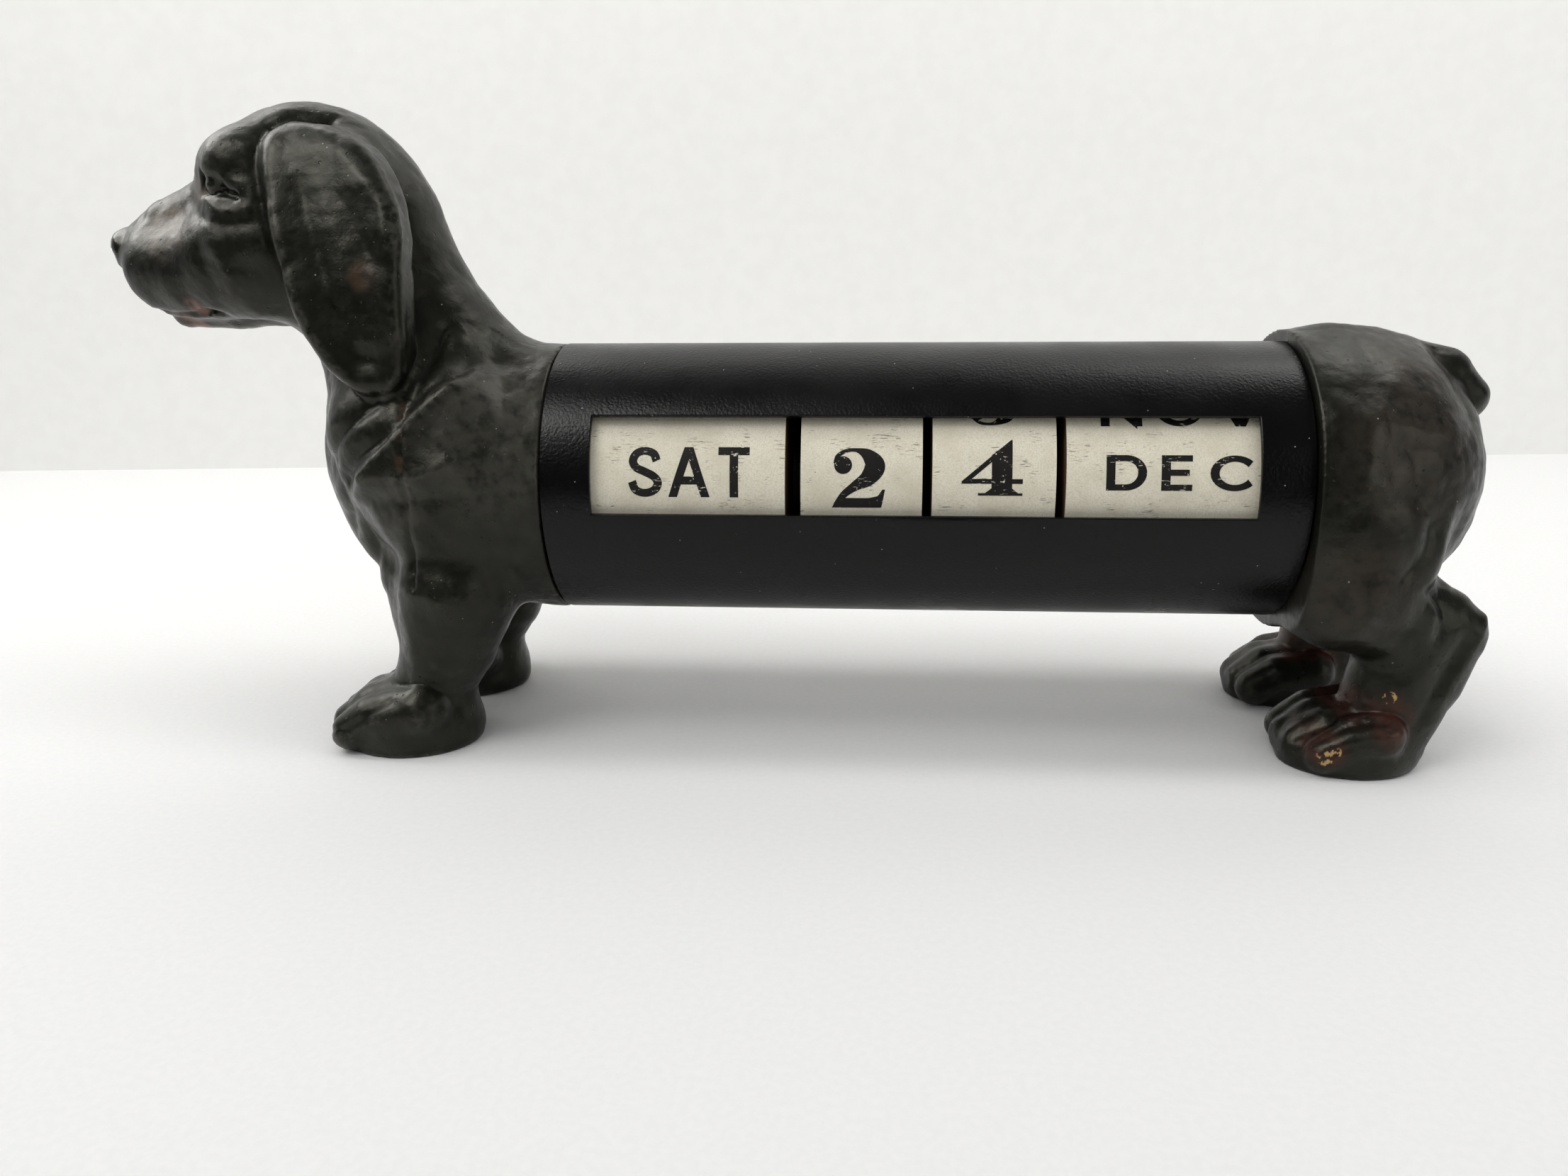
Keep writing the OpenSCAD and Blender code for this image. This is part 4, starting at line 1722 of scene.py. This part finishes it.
DIGITS: dict[str, tuple[float, tuple[Strip, ...]]] = {
    "0": (0.84, (brush([(0.42, 0.97, 0.055), (0.17, 0.78, 0.25), (0.145, 0.5, 0.29), (0.17, 0.22, 0.25),
                        (0.42, 0.03, 0.055), (0.67, 0.22, 0.25), (0.695, 0.5, 0.29), (0.67, 0.78, 0.25)],
                       True),)),
    "1": (0.60, (slab([(0.19, 0.04), (0.19, 0.86)], [(0.50, 0.04), (0.50, 1.0)]),
                 slab([(0, 0.74), (0.2, 0.86), (0.5, 1.0)], [(0.02, 0.69), (0.2, 0.74), (0.5, 0.8)]),
                 slab([(0, 0), (0.68, 0)], [(0, 0.05), (0.68, 0.05)]),
                 slab([(0.08, 0.05), (0.60, 0.05)], [(0.19, 0.14), (0.50, 0.14)]))),
    "2": (0.90, (dot(0.185, 0.715, 0.15),
                 brush([(0.055, 0.74, 0.07), (0.10, 0.87, 0.075), (0.24, 0.955, 0.065), (0.42, 0.965, 0.075),
                        (0.60, 0.88, 0.22), (0.715, 0.70, 0.345), (0.60, 0.50, 0.27), (0.38, 0.36, 0.16),
                        (0.20, 0.22, 0.12), (0.07, 0.04, 0.10)]),
                 slab([(0, 0), (0.42, 0), (0.83, 0), (0.86, 0.15), (0.89, 0.31)],
                      [(0.04, 0.08), (0.22, 0.165), (0.62, 0.165), (0.77, 0.20), (0.845, 0.31)]))),
    "3": (0.86, (dot(0.19, 0.745, 0.135), dot(0.16, 0.25, 0.15),
                 brush([(0.08, 0.80, 0.06), (0.22, 0.94, 0.06), (0.44, 0.965, 0.07), (0.63, 0.87, 0.22),
                        (0.655, 0.735, 0.27), (0.55, 0.59, 0.16), (0.34, 0.535, 0.05)]),
                 brush([(0.34, 0.535, 0.05), (0.55, 0.50, 0.14), (0.70, 0.35, 0.31), (0.67, 0.17, 0.25),
                        (0.46, 0.035, 0.07), (0.22, 0.05, 0.06), (0.05, 0.20, 0.06)]))),
    "4": (1.08, (slab([(0.535, 0.03), (0.535, 0.72)], [(0.896, 0.03), (0.896, 1.0)]),
                 slab([(0.88, 1.0), (0.0, 0.245)], [(0.87, 0.88), (0.10, 0.22)]),
                 slab([(0.0, 0.21), (1.08, 0.21)], [(0.05, 0.295), (1.08, 0.295)]),
                 slab([(0.30, 0), (1.08, 0)], [(0.30, 0.045), (1.08, 0.045)]),
                 slab([(0.42, 0.045), (1.0, 0.045)], [(0.535, 0.13), (0.896, 0.13)]))),
    "5": (0.84, (dot(0.16, 0.26, 0.14),
                 slab([(0.10, 0.50), (0.13, 1.0)], [(0.16, 0.50), (0.19, 0.84)]),
                 slab([(0.13, 1.0), (0.74, 1.0)], [(0.16, 0.84), (0.66, 0.84)]),
                 brush([(0.13, 0.50, 0.05), (0.30, 0.60, 0.08), (0.50, 0.585, 0.14), (0.67, 0.42, 0.31),
                        (0.66, 0.20, 0.27), (0.44, 0.035, 0.07), (0.20, 0.05, 0.06), (0.05, 0.22, 0.06)]))),
    "6": (0.84, (dot(0.63, 0.79, 0.12),
                 brush([(0.73, 0.86, 0.06), (0.58, 0.96, 0.06), (0.36, 0.93, 0.12), (0.19, 0.70, 0.27),
                        (0.15, 0.42, 0.30), (0.22, 0.15, 0.24), (0.44, 0.03, 0.06), (0.66, 0.14, 0.22),
                        (0.69, 0.32, 0.28), (0.62, 0.50, 0.18), (0.44, 0.585, 0.06), (0.26, 0.50, 0.05)]),)),
    "7": (0.82, (slab([(0.0, 0.70), (0.03, 1.0)], [(0.05, 0.70), (0.09, 1.0)]),
                 slab([(0.05, 1.0), (0.82, 1.0)], [(0.05, 0.82), (0.80, 0.82)]),
                 brush([(0.74, 0.90, 0.10), (0.58, 0.66, 0.13), (0.44, 0.44, 0.22), (0.37, 0.20, 0.32),
                        (0.37, 0.0, 0.32)]))),
    "8": (0.84, (brush([(0.42, 0.97, 0.055), (0.20, 0.84, 0.20), (0.22, 0.68, 0.23), (0.42, 0.54, 0.20),
                        (0.66, 0.38, 0.24), (0.70, 0.20, 0.24), (0.42, 0.03, 0.055), (0.12, 0.15, 0.13),
                        (0.10, 0.32, 0.12), (0.34, 0.50, 0.07), (0.62, 0.66, 0.13), (0.66, 0.84, 0.13)],
                       True),)),
    "9": (0.84, (dot(0.21, 0.21, 0.12),
                 brush([(0.11, 0.14, 0.06), (0.26, 0.04, 0.06), (0.48, 0.07, 0.12), (0.65, 0.30, 0.27),
                        (0.69, 0.58, 0.30), (0.62, 0.85, 0.24), (0.40, 0.97, 0.06), (0.18, 0.86, 0.22),
                        (0.15, 0.68, 0.28), (0.22, 0.50, 0.18), (0.40, 0.415, 0.06), (0.58, 0.50, 0.05)]))),
}


def sans_strips(letter: str, face: Face) -> tuple[float, list[Strip]]:
    """Draws a capital from its skeleton with a style's weights.

    Formula: a curve's half weight is the length of (bar * run, stem * rise) for its unit direction; a
    straight stroke is offset level or upright, whichever leaves its ends flush with the line.

    Args:
        letter: The capital.
        face: Style.

    Returns:
        Its width and its strips, in shares of the height.
    """
    width, strokes = LETTERS[letter]
    width = max(width * face.wide, face.stem)
    inset = np.array([face.stem / 2, face.bar / 2])
    reach = np.array([width - face.stem, 1 - face.bar])
    strips = []
    for stroke in strokes:
        if isinstance(stroke[0], str):
            strips += [curve_strip(path * reach + inset, face) for path in skeleton_curves(stroke)]
            continue
        a, b = (np.array(p, float) * reach + inset for p in stroke)
        along = b - a
        ends = np.array([a, b])
        if abs(along[1]) > abs(along[0]):
            steep = abs(along[1]) / np.linalg.norm(along)
            weight = (face.stem if steep > 0.97 else face.stem * 0.96) / steep
            ends[:, 1] += np.sign(ends[:, 1] - ends[::-1, 1]) * face.bar / 2
            off = np.array([weight / 2, 0])
        else:
            flat = abs(along[0]) / np.linalg.norm(along)
            off = np.array([0, (face.bar if flat > 0.97 else face.stem) / flat / 2])
        strips.append((ends + off, ends - off))
    return width, strips


def skeleton_curves(stroke: tuple) -> list[Array]:
    """Gives the middle lines of a skeleton's curved stroke, in the unit square.

    Args:
        stroke: Kind of the curve, then its sizes.

    Returns:
        One line of points for each curve.
    """
    if stroke[0] == "S":
        return [spline(S_SPINE, 8)]
    if stroke[0] == "O":
        return [arc(*stroke[1:])]
    _, left, low, high, reach = stroke
    middle, radius = (low + high) / 2, (high - low) / 2
    straight = reach - min(radius * 1.05, reach * 0.9)
    bowl = arc(straight, middle, reach - straight, radius, -90, 90)
    return [np.vstack([[(left, low)], bowl, [(left, high)]])]


def curve_strip(path: Array, face: Face) -> Strip:
    """Gives a curve's two edges with a style's weights.

    Args:
        path: Points of its middle line.
        face: Style.

    Returns:
        Its two edges.
    """
    run = np.gradient(path, axis=0)
    if np.allclose(path[0], path[-1]):
        run[0] = run[-1] = path[1] - path[-2]
    run /= np.maximum(np.linalg.norm(run, axis=1, keepdims=True), TINY)
    weight = np.hypot(face.bar * run[:, 0], face.stem * run[:, 1])
    off = np.stack([-run[:, 1], run[:, 0]], axis=1) * weight[:, None] / 2
    return path + off, path - off


@dataclass(frozen=True)
class Item:
    """One word or number on a drum.

    Args:
        text: What is printed.
        middle_x: Its middle along X.
        centre_deg: Angle of its middle above the horizontal, at rest.
    """

    text: str
    middle_x: float
    centre_deg: float


@dataclass
class Drum:
    """Printed paper wrap of one drum.

    Args:
        layout: Shared places.
        name: Drum's name, as in its node and body names.
        paper: Finish of the paper.
        ink: Finish of the print.
        items: What is printed round it.
        height: Height of its capitals or numerals.
        face: Style of its capitals, or None for numerals.
        seed: Seed of the paper's ripple.
    """

    layout: Layout
    name: str
    paper: Paper
    ink: Paper
    items: Sequence[Item]
    height: float
    face: Face | None
    seed: int

    LIFT = 0.022
    LIFT_STEP = 0.002
    SEGMENTS, ROWS = 288, 25
    STROKE_COLUMNS = 7
    FINE_STROKE = 12
    RIPPLE, RIPPLE_LENGTH, SETTLE = 0.035, 7.0, 0.04
    SHEET_SHARE = 0.7
    SHARP_DEG = 40

    def ripple(self, x: Array, angle: Array) -> Array:
        """Gives the paper's slight waves: slow seeded noise on the cylinder, in millimetres.

        Args:
            x: Places along X.
            angle: Angles above the horizontal.

        Returns:
            One height for each place.
        """
        r = self.layout.label_r
        places = np.stack([x.ravel(), r * np.cos(angle).ravel(), r * np.sin(angle).ravel()], axis=1)
        waves = self.RIPPLE * Noise(self.seed).at(places, self.RIPPLE_LENGTH)
        return (waves - self.SETTLE).reshape(x.shape)

    def wrap(self, x: Array, angle: Array, lift: float) -> Array:
        """Gives points on the paper at X and an angle above the horizontal."""
        r = self.layout.label_r + self.ripple(x, angle) + lift
        return np.stack([x, -r * np.cos(angle), self.layout.axle_h + r * np.sin(angle)], axis=-1)

    def build(self) -> None:
        """Makes the wrap and its print."""
        self.sheet()
        self.printing()

    def sheet(self) -> None:
        """Makes the paper as a closed thin sleeve."""
        low, high = node_box(f"{self.name}_label")
        along = np.linspace(low[0], high[0], self.ROWS)
        around = np.linspace(0, 2 * math.pi, self.SEGMENTS, endpoint=False)
        x, a = np.meshgrid(along, around, indexing="ij")
        outer = self.wrap(x, a, 0.0)
        inner = self.wrap(x, a, -self.layout.paper_t * self.SHEET_SHARE)
        loop = np.concatenate([outer, inner[::-1]])
        faces = grid_faces(len(loop), self.SEGMENTS, wrap_rows=True, wrap_columns=True)
        points, body = loop.reshape(-1, 3), f"{self.name}_drum"
        sleeve = make_piece(f"{self.name}_paper", points, faces, body, self.SHARP_DEG)
        sleeve.data.materials.append(self.paper.material())
        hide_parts(f"{self.name}_label")
        LOG.info("%s: %d faces", sleeve.name, len(faces))

    def glyphs(self, text: str) -> tuple[float, list[Strip]]:
        """Sets a word or number in a line.

        Args:
            text: What is set.

        Returns:
            Its width and strips, in shares of the height.
        """
        pen, strips = 0.0, []
        gap = self.face.gap if self.face else 0
        for sign in text:
            width, drawn = DIGITS[sign] if self.face is None else sans_strips(sign, self.face)
            strips += [(a + (pen, 0), b + (pen, 0)) for a, b in drawn]
            pen += width + gap
        return pen - gap, strips

    def stroke(self, strip: Strip) -> Array:
        """Fills a stroke with a grid of points.

        Formula: straight rungs between matching points of the two edges, which are spread evenly first
        unless both are finely drawn already.

        Args:
            strip: The stroke's two edges, in shares of the height.

        Returns:
            Points (x, y) on a grid, one row for each rung.
        """
        left, right = strip
        if len(left) != len(right) or len(left) <= self.FINE_STROKE:
            longest = max(np.linalg.norm(np.diff(edge, axis=0), axis=1).sum() for edge in strip)
            steps = max(8, int(3 * longest * self.height))
            left, right = resample(left, steps), resample(right, steps)
        t = np.linspace(0, 1, self.STROKE_COLUMNS)[None, :, None]
        return left[:, None] * (1 - t) + right[:, None] * t

    def printing(self) -> None:
        """Makes the ink: each stroke is a strip laid just over the paper."""
        points, faces, count = [], [], 0
        for item in self.items:
            width, strips = self.glyphs(item.text)
            for order, strip in enumerate(strips):
                grid = self.stroke(strip)
                x = item.middle_x + (grid[..., 0] - width / 2) * self.height
                rise = (grid[..., 1] - 0.5) * self.height / self.layout.label_r
                lift = self.LIFT + self.LIFT_STEP * order
                laid = self.wrap(x, math.radians(item.centre_deg) + rise, lift).reshape(-1, 3)
                faces.append(grid_faces(grid.shape[0], grid.shape[1]) + count)
                points.append(laid)
                count += len(laid)
        body = f"{self.name}_drum"
        ink = make_piece(f"{self.name}_print", np.vstack(points), np.vstack(faces), body)
        ink.data.materials.append(self.ink.material())
        LOG.info("%s: %d faces", ink.name, sum(len(f) for f in faces))


@dataclass
class Calendar:
    """The four drums with their print, set to the day that they show at rest."""

    layout: Layout

    WEEKDAYS = ("SUN", "MON", "TUE", "WED", "THU", "FRI", "SAT")
    MONTHS = ("JAN", "FEB", "MAR", "APR", "MAY", "JUN", "JUL", "AUG", "SEP", "OCT", "NOV", "DEC")
    TENS = ("0", "1", "2", "3", "0", "1", "2", "3")
    UNITS = ("0", "1", "2", "3", "4", "5", "6", "7", "8", "9")
    PRINTED_ARC = 330
    HANGING = "3579"
    HANG_DEG = 2.6
    FIRST_SEED = 21

    def around(self, texts: Sequence[str], shown: str, middle_x: float, centre_deg: float) -> list[Item]:
        """Spreads texts over the printed strip, each following one lower than the last.

        The pitch is even, and old-style figures that hang below the line stand a little lower.

        Args:
            texts: What is printed, from the top of the strip.
            shown: The text that stands in the window at rest.
            middle_x: Middle of the texts along X.
            centre_deg: Angle of the shown text above the horizontal.

        Returns:
            One item for each text.
        """
        pitch = self.PRINTED_ARC / len(texts)
        first = centre_deg + texts.index(shown) * pitch
        items = []
        for k, text in enumerate(texts):
            drop = self.HANG_DEG if text in self.HANGING else 0.0
            items.append(Item(text, middle_x, first - k * pitch - drop))
        return items

    def build(self) -> None:
        """Makes the four drums."""
        day_face = Face(stem=0.170, bar=0.160, wide=1.01, gap=0.125)
        month_face = Face(stem=0.25, bar=0.175, wide=1.56, gap=0.40)
        left = self.layout.tube.low
        drums = (
            ("day", self.around(self.WEEKDAYS, "SAT", left + 28.6, 12.3), 9.6, day_face),
            ("tens", self.around(self.TENS, "2", left + 60.9, 10.1), 11.3, None),
            ("units", self.around(self.UNITS, "4", left + 85.8, 14.9), 10.6, None),
            ("month", self.around(self.MONTHS, "DEC", left + 120.7, 12.9), 6.6, month_face),
        )
        for seed, (name, items, height, face) in enumerate(drums, start=self.FIRST_SEED):
            paper = Paper(f"{name} label", Pulp.LABEL)
            ink = Paper(f"{name} ink", Pulp.LABEL, ink=True)
            Drum(self.layout, name, paper, ink, items, height, face, seed).build()


# ---------------------------------------------------------------------------------------------
# Carried-over parts, stage and light
# ---------------------------------------------------------------------------------------------


@dataclass
class InnerWorks:
    """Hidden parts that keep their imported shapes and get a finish."""

    nodes: dict[str, bpy.types.Object]

    def build(self) -> None:
        """Gives every inner part its finish."""
        wood = Plain("beech", (0.42, 0.27, 0.15), (0.30, 0.175, 0.09), 0.55, 1.4, (6, 1, 1), relief=0.05)
        steel = Plain("bright steel", (0.62, 0.62, 0.63), (0.46, 0.46, 0.47), 0.30, 0.5, (1, 6, 6),
                      metal=1.0, relief=0.004)
        zinc = Plain("zinc plate", (0.68, 0.70, 0.73), (0.50, 0.52, 0.56), 0.34, 0.8, metal=1.0, relief=0.006)
        fibre = Plain("vulcanised fibre", (0.105, 0.040, 0.030), (0.065, 0.026, 0.021), 0.6, 0.9)
        board = Paper("board", Pulp.BOARD)
        finishes: tuple[tuple[Finish, tuple[str, ...]], ...] = (
            (wood, ("_plug",)),
            (steel, ("axle_rod",)),
            (zinc, ("axle_nuts", "axle_washers")),
            (fibre, ("_spacer",)),
            (board, ("_shell", "_disc")),
        )
        for finish, endings in finishes:
            material = finish.material()
            for name, node in self.nodes.items():
                if name.endswith(endings):
                    node.data.materials.clear()
                    node.data.materials.append(material)
                    LOG.info("%s: %s", name, material.name)


class Glow(Enum):
    """Whether a light shines on matt surfaces and whether it shows in glossy ones."""

    FULL = (True, True)
    MATT = (True, False)
    SHEEN = (False, True)


@dataclass
class Stage:
    """White table and wall, soft daylight and the camera."""

    layout: Layout

    WALL_Y = 0.329
    WALL_SLOPE = 0.09
    TABLE_EDGE = -0.31
    REACH = 3.0
    SENSOR, LENS = 36.0, 27.0
    CLIP = (0.01, 20.0)
    DAYLIGHT = (1.0, 0.99, 0.97)

    def slab(self, name: str, corners: Sequence[Point], finish: Finish) -> None:
        """Makes one flat surface of the stage, with corners in metres.

        Args:
            name: Its name.
            corners: Its four corners in order.
            finish: Its finish.
        """
        mesh = bpy.data.meshes.new(name)
        mesh.from_pydata(list(corners), [], [(0, 1, 2, 3)])
        surface = bpy.data.objects.new(name, mesh)
        bpy.context.scene.collection.objects.link(surface)
        mesh.materials.append(finish.material())

    def lamp(
        self, name: str, spot: Point, aim: Point, size: tuple[float, float], power: float, role: Glow
    ) -> None:
        """Hangs a rectangular soft light.

        Args:
            name: Its name.
            spot: Its place in metres.
            aim: The point that it faces, in metres.
            size: Its width and height in metres.
            power: Its power in watts.
            role: Which surfaces it lights.
        """
        data = bpy.data.lights.new(name, "AREA")
        data.shape, data.size, data.size_y = "RECTANGLE", size[0], size[1]
        data.energy, data.color = power, self.DAYLIGHT
        lamp = bpy.data.objects.new(name, data)
        direction = np.array(aim) - np.array(spot)
        yaw = math.atan2(direction[0], direction[1])
        pitch = math.atan2(direction[2], math.hypot(direction[0], direction[1]))
        lamp.location = spot
        lamp.visible_diffuse, lamp.visible_glossy = role.value
        lamp.rotation_euler = (math.pi / 2 + pitch, 0, -yaw)
        bpy.context.scene.collection.objects.link(lamp)

    def camera(self) -> None:
        """Places the camera."""
        data = bpy.data.cameras.new("camera")
        data.sensor_width, data.lens = self.SENSOR, self.LENS
        data.clip_start, data.clip_end = self.CLIP
        camera = bpy.data.objects.new("camera", data)
        spot = np.array([self.layout.tube.low + 64.06, -244.8, 98.9]) * METRES
        pan, tilt, roll = math.radians(4.56), math.radians(90 - 15.88), math.radians(-0.53)
        turn = Matrix.Rotation(pan, 4, "Z") @ Matrix.Rotation(tilt, 4, "X") @ Matrix.Rotation(roll, 4, "Z")
        camera.matrix_world = Matrix.Translation(spot) @ turn
        bpy.context.scene.collection.objects.link(camera)
        bpy.context.scene.camera = camera

    def room(self) -> None:
        """Makes the room's glow: bright overhead and dim at eye height, as under a white ceiling."""
        world = bpy.data.worlds.new("room")
        world.use_nodes = True
        tree = world.node_tree
        direction = tree.nodes.new("ShaderNodeTexCoord").outputs["Generated"]
        split = tree.nodes.new("ShaderNodeSeparateXYZ")
        tree.links.new(direction, split.inputs["Vector"])
        climb = tree.nodes.new("ShaderNodeMapRange")
        climb.interpolation_type = "SMOOTHSTEP"
        tree.links.new(split.outputs["Z"], climb.inputs["Value"])
        for key, value in {"From Min": 0.12, "From Max": 0.75, "To Min": 0.10, "To Max": 1.0}.items():
            climb.inputs[key].default_value = value
        background = tree.nodes["Background"]
        background.inputs["Color"].default_value = (0.97, 0.98, 1.0, 1.0)
        dimmed = tree.nodes.new("ShaderNodeMath")
        dimmed.operation = "MULTIPLY"
        tree.links.new(climb.outputs["Result"], dimmed.inputs[0])
        share = tree.nodes.new("ShaderNodeMapRange")
        tree.links.new(tree.nodes.new("ShaderNodeLightPath").outputs["Is Glossy Ray"], share.inputs["Value"])
        share.inputs["To Min"].default_value, share.inputs["To Max"].default_value = 1.0, 0.12
        tree.links.new(share.outputs["Result"], dimmed.inputs[1])
        tree.links.new(dimmed.outputs["Value"], background.inputs["Strength"])
        bpy.context.scene.world = world

    def build(self) -> None:
        """Sets up the stage, light and camera."""
        table = Plain("table cloth", (0.76, 0.757, 0.748), (0.74, 0.738, 0.732), 0.8, 1.2, relief=0.03)
        wall = Plain("wall", (0.82, 0.818, 0.80), (0.80, 0.797, 0.78), 0.9, 8.0)
        far, near = self.REACH, self.TABLE_EDGE
        left, right = (self.WALL_Y + x * self.WALL_SLOPE for x in (-far, far))
        top = [(-far, near, 0), (far, near, 0), (far, right, 0), (-far, left, 0)]
        self.slab("table", top, table)
        upright = [(-far, left, 0), (far, right, 0), (far, right, far), (-far, left, far)]
        self.slab("wall_panel", upright, wall)
        self.lamp("window light", (-0.47, -0.53, 1.05), (0, 0, 0.03), (0.55, 0.42), 3.7, Glow.FULL)
        self.lamp("wall light", (0.4, -0.05, 0.62), (0.45, 0.36, 0.35), (2.2, 0.25), 5.2, Glow.MATT)
        self.lamp("left sheen", (-0.72, 0.06, 0.55), (-0.05, 0, 0.08), (0.5, 0.35), 2.6, Glow.SHEEN)
        self.lamp("front left sheen", (-0.50, -0.47, 0.62), (-0.04, 0, 0.06), (0.4, 0.4), 2.4, Glow.SHEEN)
        self.lamp("right sheen", (0.75, -0.55, 0.28), (0.12, 0, 0.06), (0.6, 0.4), 1.1, Glow.SHEEN)
        self.lamp("upper left sheen", (-0.36, 0.26, 0.42), (-0.08, 0, 0.1), (0.6, 0.34), 1.8, Glow.SHEEN)
        self.lamp("upper right sheen", (0.36, 0.24, 0.72), (0.1, 0, 0.08), (0.4, 0.3), 1.1, Glow.SHEEN)
        self.room()
        bpy.context.scene.view_settings.view_transform = "Standard"
        self.camera()


# ---------------------------------------------------------------------------------------------
# Everything in order
# ---------------------------------------------------------------------------------------------


def main() -> None:
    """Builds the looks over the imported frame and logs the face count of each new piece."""
    logging.basicConfig(level=logging.INFO, format="%(message)s")
    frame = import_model()
    layout = Layout.from_frame()
    FrontCasting(layout, CastPaint("front cast paint"), seed=11).build()
    # The rear paint's brown is brown antiquing, set light enough to also stand in for painted sheen on the
    # rump.
    RearCasting(layout, CastPaint("rear cast paint", brown=(0.038, 0.029, 0.023)), seed=31).build()
    window = Span(layout.tube.low + WINDOW_MARGIN, layout.tube.high - WINDOW_MARGIN)
    BodyTube(layout, PowderCoat("powder coat"), window).build()
    Calendar(layout).build()
    InnerWorks(frame["nodes"]).build()
    Stage(layout).build()


if __name__ == "__main__":
    main()
